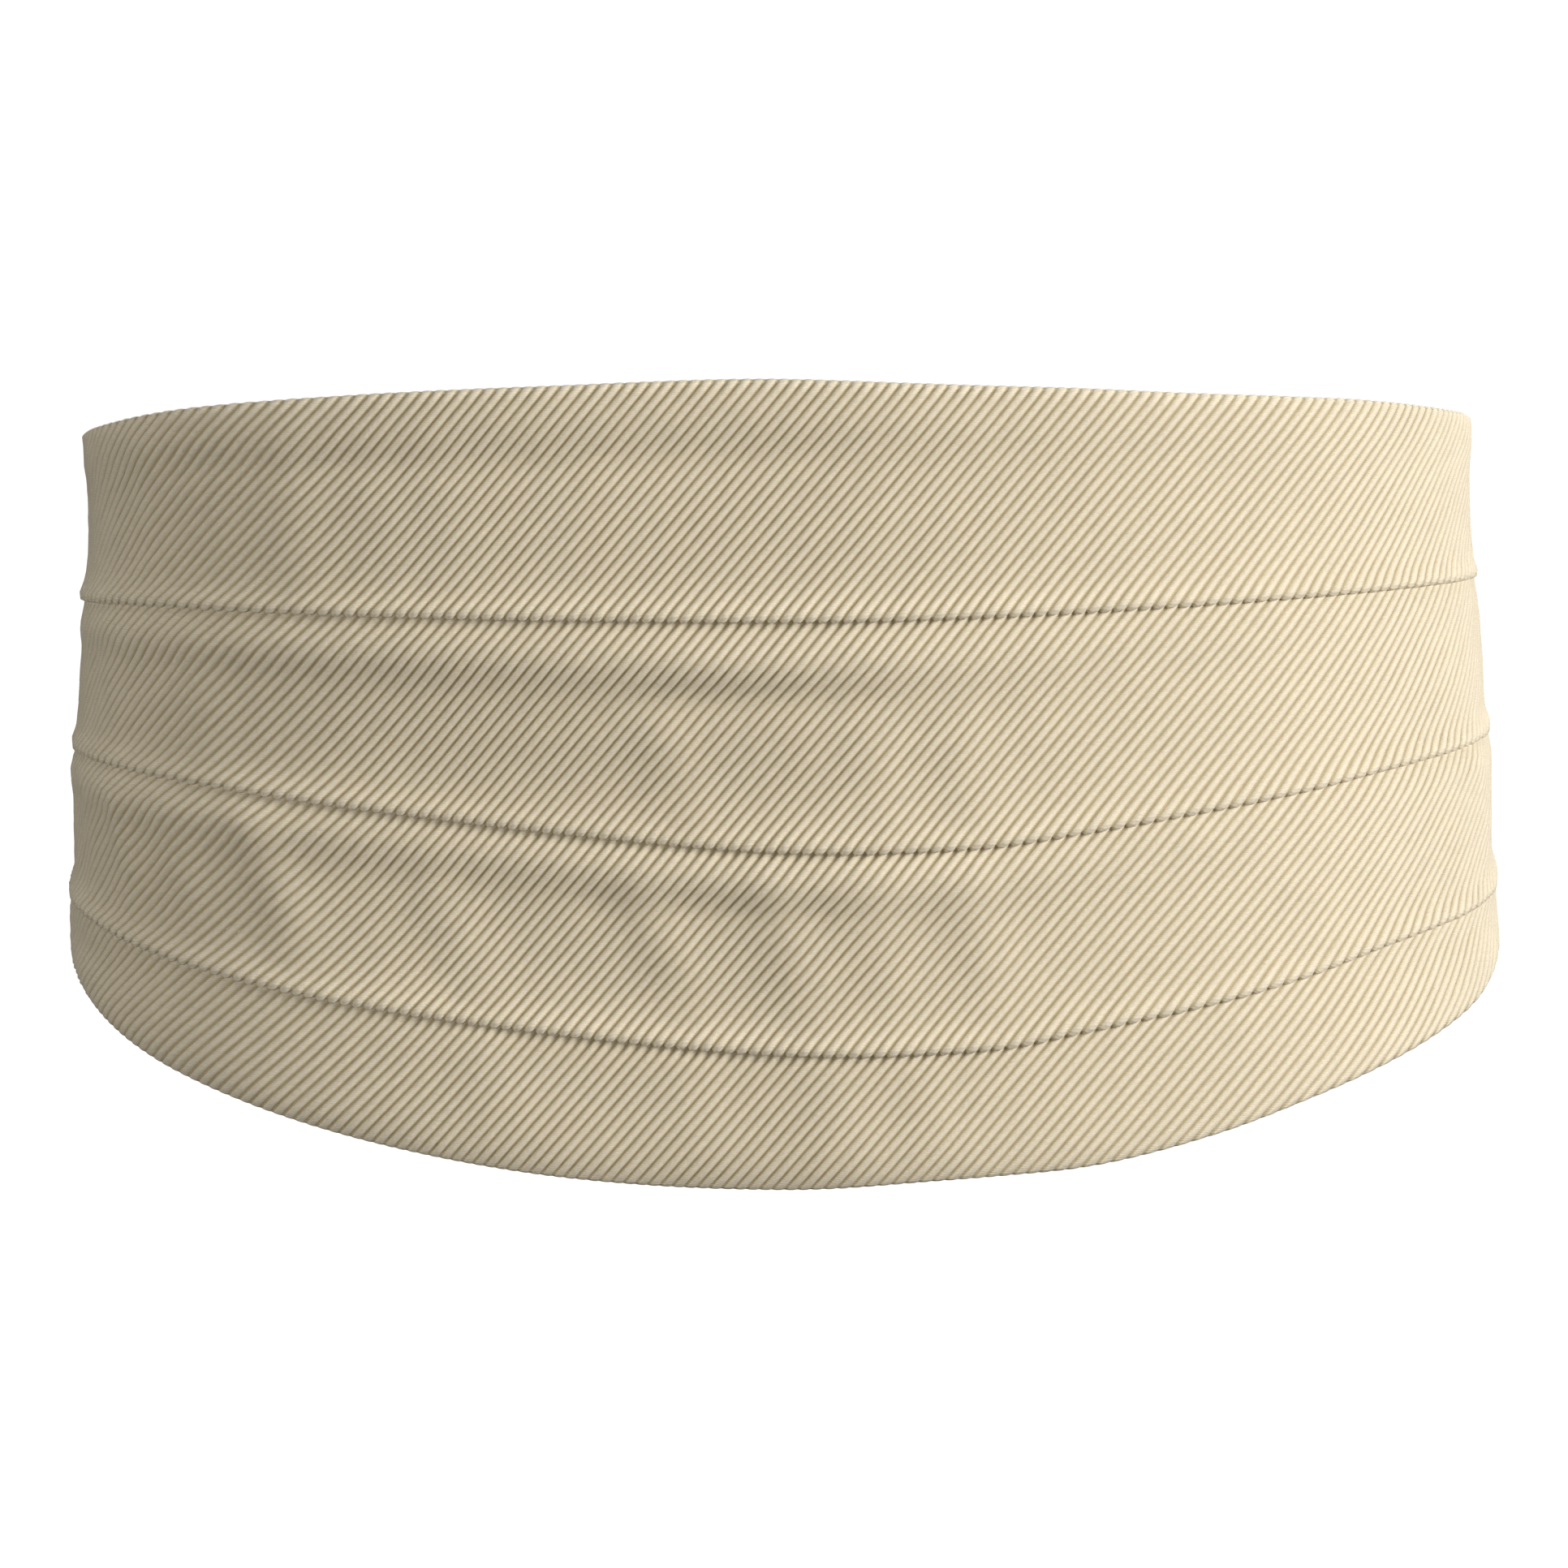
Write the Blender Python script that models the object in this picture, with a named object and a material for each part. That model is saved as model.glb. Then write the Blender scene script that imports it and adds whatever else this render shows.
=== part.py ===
"""Cummerbund in the form it has when worn: a pleated front, two back strap halves and a metal clasp.

Metres, +Z up. The front faces -Y. The origin is the centre of the waist that holds the garment up.
A place round the waist is an arc: the distance along it from the centre front, positive towards +X,
which is the wearer's left. An offset is a distance out from the waist, square to it.
"""

import math
from typing import NamedTuple

import bmesh
import bpy
from mathutils import Vector

MM = 0.001

# The waist: one half oval in front and a shallower one behind, as a general figure has.
WAIST_HALF_WIDTH = 0.1393
WAIST_FRONT_DEPTH = 0.1046
WAIST_BACK_DEPTH = 0.0880
WAIST_SQUARENESS = 2.6  # 2 is an ellipse, and more is squarer
WAIST_SPREAD = 0.075  # metres that the garment moves out for each metre down
WAIST_STEPS = 720  # steps of the walk that measures arcs, in half a waist
NORMAL_REACH = 0.0015  # how far to each side of a point the waist's direction is read

# The cloth
CLOTH = 0.0010
LAYER_GAP = 0.00035
LAYER_STEP = CLOTH + LAYER_GAP
SEAM_GAP = 0.0003
SKIN_SIDE = CLOTH / 2  # offset of the middle of a cloth that touches the waist

# The pleated front
FOLD_DEPTH = 0.011  # how far the cloth turns back up behind each fold
FOLD_SHARE = 0.42  # most of a pleat's own height that this may take, near the narrow ends
FRONT_COLUMNS = 44
BEND_STEPS = 3  # steps round half a turn
FOLD_FLARE = 0.0003  # how far a pleat's lower end stands off the layers behind it
FACE_SHARES = (0.25, 0.5, 0.7, 0.86, 1.0)  # where a face has its points, down to its fold's layers
LAST_FACE_SHARES = (0.0, 0.35, 0.7, 1.0)
HEM_FLARE = 0.0009  # how far the bottom edge stands off the waist
FACE_CURVE = 1.7  # more than 1 makes a face hollow, so that it flares towards its fold

# The back straps
STRAP_HALF_HEIGHT = 0.019
STRAP_HEIGHT_AT = 0.003  # height of a strap's middle, and of the front's ends
LAP = 0.010  # how far a strap lies on the front's end
STRAP_TAPER = 0.038  # distance from the front's end at which a strap is down to its own height
ROOT_OVERHANG = 0.001  # how far a strap's root reaches past the front's end, top and bottom

# The clasp, at the centre back
PLATE = 0.0012
BAR = 0.0025
STRAP_SLOT = 0.0045
HOOK_SLOT = 0.0040
SLOT_CLEARANCE = 0.0005
PLATE_RIM = 0.0025
HOOK_SLOT_HALF_HEIGHT = 0.0085
EYE_END = -0.0020  # x of the eye's free end
HOOK_FREE_EDGE = 0.0085  # x of the hook plate's edge that the tongue grows from
TONGUE_HALF_HEIGHT = 0.0065
TONGUE = 0.0010
TONGUE_FLAT = 0.0010  # how far past the hook plate the tongue stays in its plane
TONGUE_RISE = 0.0045  # how far past it the tongue is out over the eye
TONGUE_RETURN = 0.0022  # how far the tongue's tip comes back past the middle of its bend
BAR_CLEARANCE = 0.00045
TURN_INSET = 0.00025  # how far the middle of a turn lies inside the edge of the bar that it goes round
STRAP_RETURN = 0.020  # length of strap turned back behind the bar
CUT_END_INSET = 0.002  # how far short of that the cut end stops
RETURN_RAMP = 0.007  # length over which the strap rises to lie over its own cut end
BAR_PASS = BAR + 0.001  # length over which the strap lies clear of the bar
SLOT_EDGE = HOOK_FREE_EDGE + BAR + STRAP_SLOT  # x of the strap bar's near edge, on either side
PLATE_END = SLOT_EDGE + BAR
STRAP_TURN = SLOT_EDGE + TURN_INSET  # x of the middle of the strap's turn round its bar
CORNER_RADIUS = 0.0012
CORNER_STEPS = 3
CUTTER_DEPTH = 4 * PLATE

CREAM = (0.66, 0.57, 0.42)
NICKEL = (0.62, 0.61, 0.58)
CLOTH_ROUGHNESS = 0.75
METAL_ROUGHNESS = 0.3


class Section(NamedTuple):
    """Heights of the front's two edges and three folds at one arc, all in mm."""

    arc: float
    top: float
    fold_1: float
    fold_2: float
    fold_3: float
    bottom: float


# From the wearer's right end to the left one. The two edges sit up to 2 mm lower on the left.
SECTIONS = (
    Section(-300, 34.0, 16.0, 1.0, -14.0, -28.0),
    Section(-250, 41.5, 20.0, -0.5, -21.0, -33.0),
    Section(-215, 50.2, 23.2, -2.2, -28.2, -37.5),
    Section(-185, 58.0, 26.0, -3.0, -32.2, -42.2),
    Section(-155, 63.8, 28.9, -1.8, -33.0, -48.7),
    Section(-120, 68.7, 31.2, -2.0, -36.9, -57.8),
    Section(-80, 72.6, 31.9, -5.1, -42.0, -66.9),
    Section(-40, 74.8, 31.6, -8.9, -46.2, -73.2),
    Section(0, 75.2, 31.2, -11.6, -49.2, -75.7),
    Section(40, 74.0, 31.3, -11.1, -48.8, -74.1),
    Section(80, 71.2, 31.5, -7.2, -43.5, -68.5),
    Section(120, 67.0, 30.9, -3.4, -37.1, -59.3),
    Section(155, 62.1, 29.2, -2.9, -35.0, -50.8),
    Section(185, 57.0, 26.8, -3.4, -33.5, -43.5),
    Section(215, 49.8, 23.6, -2.4, -28.5, -38.0),
    Section(250, 41.5, 20.0, -0.5, -21.0, -33.0),
    Section(300, 34.0, 16.0, 1.0, -14.0, -28.0),
)
FRONT_END = SECTIONS[-1].arc * MM


class RootPoint(NamedTuple):
    """The middle of a strap, in mm: how far past the front's end, and how far out from lying on the waist."""

    past_end: float
    out: float


# Each strap comes down off the front's end and then lies on the waist.
STRAP_ROOT = (
    RootPoint(5, 2.9),
    RootPoint(11, 0.6),
    RootPoint(18, 0.0),
    RootPoint(28, 0.0),
    RootPoint(38, 0.0),
)


def clear_scene():
    for obj in list(bpy.data.objects):
        bpy.data.objects.remove(obj, do_unlink=True)


def material(name, colour, roughness, metallic=0.0):
    made = bpy.data.materials.new(name)
    made.use_nodes = True
    shader = made.node_tree.nodes["Principled BSDF"]
    shader.inputs["Base Color"].default_value = (*colour, 1.0)
    shader.inputs["Roughness"].default_value = roughness
    shader.inputs["Metallic"].default_value = metallic
    return made


def oval_point(turn):
    """Point of the waist at a turn in radians from the centre front, towards +X."""
    power = 2 / WAIST_SQUARENESS
    side, ahead = math.sin(turn), math.cos(turn)
    depth = WAIST_FRONT_DEPTH if ahead > 0 else WAIST_BACK_DEPTH
    x = WAIST_HALF_WIDTH * math.copysign(abs(side) ** power, side)
    y = -depth * math.copysign(abs(ahead) ** power, ahead)
    return Vector((x, y, 0.0))


def walk_half_waist():
    """(arc, point) pairs from the centre front round the +X side to the centre back."""
    walked, arc, last = [], 0.0, None
    for step in range(WAIST_STEPS + 1):
        point = oval_point(math.pi * step / WAIST_STEPS)
        if last is not None:
            arc += (point - last).length
        walked.append((arc, point))
        last = point
    return walked


WALK = walk_half_waist()
HALF_GIRTH = WALK[-1][0]


def waist_point(arc):
    """Point of the waist at an arc, on either side."""
    distance = min(abs(arc), HALF_GIRTH)
    low, high = 0, len(WALK) - 1
    while high - low > 1:
        middle = (low + high) // 2
        if WALK[middle][0] <= distance:
            low = middle
        else:
            high = middle
    (arc_a, a), (arc_b, b) = WALK[low], WALK[high]
    point = a.lerp(b, (distance - arc_a) / (arc_b - arc_a))
    return Vector((math.copysign(point.x, arc), point.y, 0.0))


def waist_normal(arc):
    """Outward normal of the waist at an arc."""
    ahead = waist_point(min(arc + NORMAL_REACH, HALF_GIRTH))
    behind = waist_point(max(arc - NORMAL_REACH, -HALF_GIRTH))
    along = ahead - behind
    return Vector((along.y, -along.x, 0.0)).normalized()


def place(arc, offset, height):
    """World point at an arc, an offset and a height."""
    out = offset - WAIST_SPREAD * height
    point = waist_point(arc) + waist_normal(arc) * out
    return (point.x, point.y, height)


def smooth_value(rows, arc, column):
    """A column of the sections at an arc, on a smooth curve through the rows."""
    last = len(rows) - 2
    i = min(max(sum(row.arc <= arc for row in rows) - 1, 0), last)

    def slope(k):
        before, after = rows[max(k - 1, 0)], rows[min(k + 1, len(rows) - 1)]
        return (getattr(after, column) - getattr(before, column)) / (after.arc - before.arc)

    span = rows[i + 1].arc - rows[i].arc
    t = (arc - rows[i].arc) / span
    ends = getattr(rows[i], column), getattr(rows[i + 1], column)
    return (
        (1 + 2 * t) * (1 - t) ** 2 * ends[0]
        + t * (1 - t) ** 2 * span * slope(i)
        + t * t * (3 - 2 * t) * ends[1]
        + t * t * (t - 1) * span * slope(i + 1)
    )


def section_at(arc):
    """The section at any arc, in metres."""
    heights = (smooth_value(SECTIONS, arc / MM, column) * MM for column in Section._fields[1:])
    return Section(arc, *heights)


def bend(offset, height, down):
    """Half a turn of cloth about (offset, height), from the outer layer inward if it turns under."""
    radius = LAYER_STEP / 2
    sign = -1 if down else 1
    turns = (math.pi * step / BEND_STEPS for step in range(BEND_STEPS + 1))
    return [
        (offset + radius * math.cos(turn), height + sign * radius * math.sin(turn)) for turn in turns
    ]


def face(upper, lower, fold_top):
    """A pleat's face: on the waist at its upper end, and curving out over its fold's layers at fold_top."""
    out = 2 * LAYER_STEP
    points = [(SKIN_SIDE, upper)]
    for share in FACE_SHARES:
        eased = share**FACE_CURVE
        points.append((SKIN_SIDE + out * eased, upper + (fold_top - upper) * share))
    points.append((SKIN_SIDE + out + FOLD_FLARE / 2, (fold_top + lower) / 2))
    return points


def pleated_path(section):
    """(offset, height) points down the middle of the cloth, from the top edge to the bottom one."""
    radius = LAYER_STEP / 2
    lines = [section.top, section.fold_1, section.fold_2, section.fold_3]
    path = []
    start = section.top
    for above, fold in zip(lines, lines[1:]):
        depth = min(FOLD_DEPTH, FOLD_SHARE * (above - fold))
        low = fold + CLOTH / 2 + radius
        high = fold + depth
        path += face(start, low, high + radius + CLOTH)
        path += bend(SKIN_SIDE + 1.5 * LAYER_STEP, low, down=True)
        path += bend(SKIN_SIDE + 0.5 * LAYER_STEP, high, down=False)
        start = fold
    drop = start - section.bottom
    last_face = ((SKIN_SIDE + HEM_FLARE * share, start - drop * share) for share in LAST_FACE_SHARES)
    return [*path, *last_face]


def mesh_object(name, shape, parent, finish=None):
    """An object with the shape of a BMesh, which is freed."""
    mesh = bpy.data.meshes.new(name)
    shape.to_mesh(mesh)
    shape.free()
    if finish:
        mesh.materials.append(finish)
    obj = bpy.data.objects.new(name, mesh)
    bpy.context.scene.collection.objects.link(obj)
    obj.parent = parent
    return obj


def wall_over(name, columns, thickness, finish, parent):
    """A wall of even thickness over a grid of points, a list of them for each column."""
    shape = bmesh.new()
    grid = [[shape.verts.new(point) for point in column] for column in columns]
    for left, right in zip(grid, grid[1:]):
        for i in range(len(left) - 1):
            shape.faces.new((left[i], left[i + 1], right[i + 1], right[i]))
    bmesh.ops.recalc_face_normals(shape, faces=shape.faces)
    obj = mesh_object(name, shape, parent, finish)
    wall = obj.modifiers.new("Wall", "SOLIDIFY")
    wall.thickness = thickness
    wall.offset = 0.0
    wall.use_even_offset = True
    return obj


def build_front(finish, parent):
    columns = []
    for column in range(FRONT_COLUMNS + 1):
        arc = FRONT_END * (2 * column / FRONT_COLUMNS - 1)
        path = pleated_path(section_at(arc))
        columns.append([place(arc, offset, height) for offset, height in path])
    return wall_over("pleated_front", columns, CLOTH, finish, parent)


def strap_run():
    """(arc, offset) of a strap's middle from its lap on the front to the cut end behind the clasp's bar."""
    lap_offset = SKIN_SIDE + 2 * LAYER_STEP + FOLD_FLARE + SEAM_GAP + CLOTH
    bar_arc = HALF_GIRTH - STRAP_TURN
    turn_radius = PLATE / 2 + BAR_CLEARANCE + CLOTH / 2
    doubled = SKIN_SIDE + LAYER_STEP
    run = [(arc, lap_offset) for arc in (FRONT_END - LAP, FRONT_END - LAP / 2, FRONT_END + SEAM_GAP)]
    run += [(FRONT_END + point.past_end * MM, SKIN_SIDE + point.out * MM) for point in STRAP_ROOT]
    run += [
        (bar_arc - STRAP_RETURN - RETURN_RAMP, SKIN_SIDE),
        (bar_arc - STRAP_RETURN, doubled),
        (bar_arc - STRAP_RETURN / 2, doubled),
        (bar_arc - BAR_PASS, SKIN_SIDE + 2 * turn_radius),
    ]
    for step in range(BEND_STEPS * 2 + 1):
        turn = math.pi * step / (BEND_STEPS * 2)
        across = SKIN_SIDE + turn_radius + turn_radius * math.cos(turn)
        run.append((bar_arc + turn_radius * math.sin(turn), across))
    cut_end = bar_arc - STRAP_RETURN + CUT_END_INSET
    return [*run, (bar_arc - STRAP_RETURN / 2, SKIN_SIDE), (cut_end, SKIN_SIDE)]


def strap_edges(arc):
    """Top and bottom heights of a strap: the front's end at its root, narrowing to its own height."""
    end = section_at(FRONT_END)
    share = min(max((arc - FRONT_END) / STRAP_TAPER, 0.0), 1.0)
    eased = share * share * (3 - 2 * share)
    root_top = end.top + ROOT_OVERHANG
    root_bottom = end.bottom - ROOT_OVERHANG
    top = root_top + (STRAP_HEIGHT_AT + STRAP_HALF_HEIGHT - root_top) * eased
    bottom = root_bottom + (STRAP_HEIGHT_AT - STRAP_HALF_HEIGHT - root_bottom) * eased
    return top, bottom


def build_strap(name, side, finish, parent):
    columns = []
    for arc, offset in strap_run():
        top, bottom = strap_edges(arc)
        middle = (top + bottom) / 2
        columns.append([place(side * arc, offset, height) for height in (top, middle, bottom)])
    return wall_over(name, columns, CLOTH, finish, parent)


def stamped_plate(name, outline, slots, finish, parent):
    """A flat plate in the parent's XZ plane, with rounded corners and rectangular slots cut through.

    outline is (x, z) points in order, and each slot is (x from, x to, half height).
    """
    shape = bmesh.new()
    face = shape.faces.new([shape.verts.new((x, -PLATE / 2, z)) for x, z in outline])
    grown = bmesh.ops.extrude_face_region(shape, geom=[face])
    far_side = [item for item in grown["geom"] if isinstance(item, bmesh.types.BMVert)]
    bmesh.ops.translate(shape, verts=far_side, vec=(0.0, PLATE, 0.0))
    corners = [edge for edge in shape.edges if abs(edge.verts[0].co.y - edge.verts[1].co.y) > PLATE / 2]
    bmesh.ops.bevel(
        shape, geom=corners, offset=CORNER_RADIUS, segments=CORNER_STEPS, profile=0.5, affect="EDGES"
    )
    bmesh.ops.recalc_face_normals(shape, faces=shape.faces)
    obj = mesh_object(name, shape, parent, finish)
    for number, (x_from, x_to, half_height) in enumerate(slots):
        cutter = slot_cutter(f"{name}_slot_{number}", x_from, x_to, half_height, parent)
        cut = obj.modifiers.new(cutter.name, "BOOLEAN")
        cut.operation = "DIFFERENCE"
        cut.object = cutter
    return obj


def hide(helper):
    helper.hide_render = True
    helper.display_type = "WIRE"


def slot_cutter(name, x_from, x_to, half_height, parent):
    shape = bmesh.new()
    bmesh.ops.create_cube(shape, size=1.0)
    size = (x_to - x_from, CUTTER_DEPTH, 2 * half_height)
    bmesh.ops.scale(shape, vec=size, verts=shape.verts)
    cutter = mesh_object(name, shape, parent)
    cutter.location = ((x_from + x_to) / 2, 0.0, 0.0)
    hide(cutter)
    return cutter


def build_eye(finish, parent):
    wide = STRAP_HALF_HEIGHT + SLOT_CLEARANCE + PLATE_RIM
    narrow = HOOK_SLOT_HALF_HEIGHT + PLATE_RIM
    slot_near = EYE_END - BAR
    slot_far = slot_near - HOOK_SLOT
    outline = [
        (EYE_END, -narrow),
        (EYE_END, narrow),
        (slot_near, narrow),
        (slot_far - BAR / 2, wide),
        (-PLATE_END, wide),
        (-PLATE_END, -wide),
        (slot_far - BAR / 2, -wide),
        (slot_near, -narrow),
    ]
    slots = [
        (slot_far, slot_near, HOOK_SLOT_HALF_HEIGHT),
        (-SLOT_EDGE, -SLOT_EDGE + STRAP_SLOT, STRAP_HALF_HEIGHT + SLOT_CLEARANCE),
    ]
    return stamped_plate("clasp_eye", outline, slots, finish, parent)


def tongue_run():
    """(x, offset from the plates) of the hook's tongue, over the eye's end bar and back behind it."""
    radius = PLATE / 2 + BAR_CLEARANCE + TONGUE / 2
    turn_x = EYE_END - BAR + TURN_INSET
    run = [
        (HOOK_FREE_EDGE + BAR / 2, 0.0),
        (HOOK_FREE_EDGE - TONGUE_FLAT, 0.0),
        (HOOK_FREE_EDGE - TONGUE_RISE, radius),
    ]
    for step in range(BEND_STEPS * 2 + 1):
        turn = math.pi * step / (BEND_STEPS * 2)
        run.append((turn_x - radius * math.sin(turn), radius * math.cos(turn)))
    return [*run, (turn_x + TONGUE_RETURN, -radius)]


def build_hook(finish, parent):
    wide = STRAP_HALF_HEIGHT + SLOT_CLEARANCE + PLATE_RIM
    shoulder = TONGUE_HALF_HEIGHT + PLATE_RIM
    outline = [
        (HOOK_FREE_EDGE, -shoulder),
        (HOOK_FREE_EDGE, shoulder),
        (HOOK_FREE_EDGE + BAR, wide),
        (PLATE_END, wide),
        (PLATE_END, -wide),
        (HOOK_FREE_EDGE + BAR, -wide),
    ]
    slots = [(SLOT_EDGE - STRAP_SLOT, SLOT_EDGE, STRAP_HALF_HEIGHT + SLOT_CLEARANCE)]
    plate = stamped_plate("clasp_hook", outline, slots, finish, parent)
    heights = (TONGUE_HALF_HEIGHT, 0.0, -TONGUE_HALF_HEIGHT)
    columns = [[(x, offset, height) for height in heights] for x, offset in tongue_run()]
    tongue = wall_over("clasp_hook_tongue", columns, TONGUE, finish, parent)
    hide(tongue)
    join = plate.modifiers.new("Tongue", "BOOLEAN")
    join.operation = "UNION"
    join.object = tongue
    return plate


def empty(name, parent=None):
    made = bpy.data.objects.new(name, None)
    bpy.context.scene.collection.objects.link(made)
    made.parent = parent
    return made


def clasp_frame(parent):
    """The plane of the clasp's plates, leaning with the waist at the centre back."""
    frame = empty("clasp_frame", parent)
    plate_offset = SKIN_SIDE + PLATE / 2 + BAR_CLEARANCE + CLOTH / 2
    frame.location = place(HALF_GIRTH, plate_offset, STRAP_HEIGHT_AT)
    frame.rotation_euler = (math.atan(WAIST_SPREAD), 0.0, 0.0)
    return frame


def main():
    clear_scene()
    cloth = material("Rib cloth", CREAM, CLOTH_ROUGHNESS)
    metal = material("Nickel", NICKEL, METAL_ROUGHNESS, metallic=1.0)
    waist = empty("waist")
    build_front(cloth, waist)
    build_strap("back_strap_left", 1, cloth, waist)
    build_strap("back_strap_right", -1, cloth, waist)
    frame = clasp_frame(waist)
    build_eye(metal, frame)
    build_hook(metal, frame)


main()
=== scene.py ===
"""The cummerbund's looks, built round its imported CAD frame.

Metres, +Z up. The front faces -Y and the wearer's left is +X. A place round the waist is an arc, the
distance along it from the centre front, positive towards +X, and an offset is a distance out from it.
A place in the cloth is an arc and a cloth height, which on a pleat's face is the height in the frame.
"""

import logging
import math
from dataclasses import dataclass, field
from enum import Enum
from typing import NamedTuple

import bpy
import numpy as np
from mathutils import Matrix, Vector


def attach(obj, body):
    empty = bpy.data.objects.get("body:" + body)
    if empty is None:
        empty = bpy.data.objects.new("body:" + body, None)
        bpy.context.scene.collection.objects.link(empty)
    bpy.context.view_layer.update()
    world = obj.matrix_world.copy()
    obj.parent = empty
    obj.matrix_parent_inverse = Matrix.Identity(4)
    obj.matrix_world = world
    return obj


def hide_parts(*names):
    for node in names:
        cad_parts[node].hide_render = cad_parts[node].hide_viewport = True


Array = np.ndarray
MM = 0.001
log = logging.getLogger("cummerbund")

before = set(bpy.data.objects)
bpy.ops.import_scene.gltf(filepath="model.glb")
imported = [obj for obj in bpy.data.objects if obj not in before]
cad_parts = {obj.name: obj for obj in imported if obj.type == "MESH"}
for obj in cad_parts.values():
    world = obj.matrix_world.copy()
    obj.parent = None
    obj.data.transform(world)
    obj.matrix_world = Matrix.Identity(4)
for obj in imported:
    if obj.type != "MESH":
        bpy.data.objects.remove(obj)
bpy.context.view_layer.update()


def smooth(share: Array) -> Array:
    """Eases a share from 0 to 1 with level ends."""
    held = np.clip(share, 0.0, 1.0)
    return held * held * (3.0 - 2.0 * held)


def curve_through(knots: Array, values: Array, at: Array) -> Array:
    """Reads a smooth curve through knots.

    Args:
        knots: Rising places of the knots.
        values: The curve's value at each.
        at: Places to read it at, any shape.

    Returns:
        The values there, held level past both ends.
    """
    slopes = np.gradient(values, knots)
    place = np.clip(at, knots[0], knots[-1])
    low = np.clip(np.searchsorted(knots, place, side="right") - 1, 0, len(knots) - 2)
    span = knots[low + 1] - knots[low]
    t = (place - knots[low]) / span
    return (
        (1 + 2 * t) * (1 - t) ** 2 * values[low]
        + t * (1 - t) ** 2 * span * slopes[low]
        + t * t * (3 - 2 * t) * values[low + 1]
        + t * t * (t - 1) * span * slopes[low + 1]
    )


# Height, and how much nearer the garment lies to the waist's sides there, in mm.
SIDE_TRIM = (
    (-58, 0.1),
    (-50, 0.5),
    (-45, 1.0),
    (-40, 1.5),
    (-35, 1.2),
    (-30, 1.3),
    (-25, 0.9),
    (-19, 0.5),
    (-12, 0.2),
    (-8, 0.1),
    (-4, 0.5),
    (1, 0.7),
    (8, 0.45),
    (14, 0.6),
    (20, 0.8),
    (28, 0.8),
    (36, 0.75),
    (42, 0.45),
    (48, 0.15),
    (54, -0.25),
    (60, -0.6),
    (75, -0.6),
)


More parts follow.
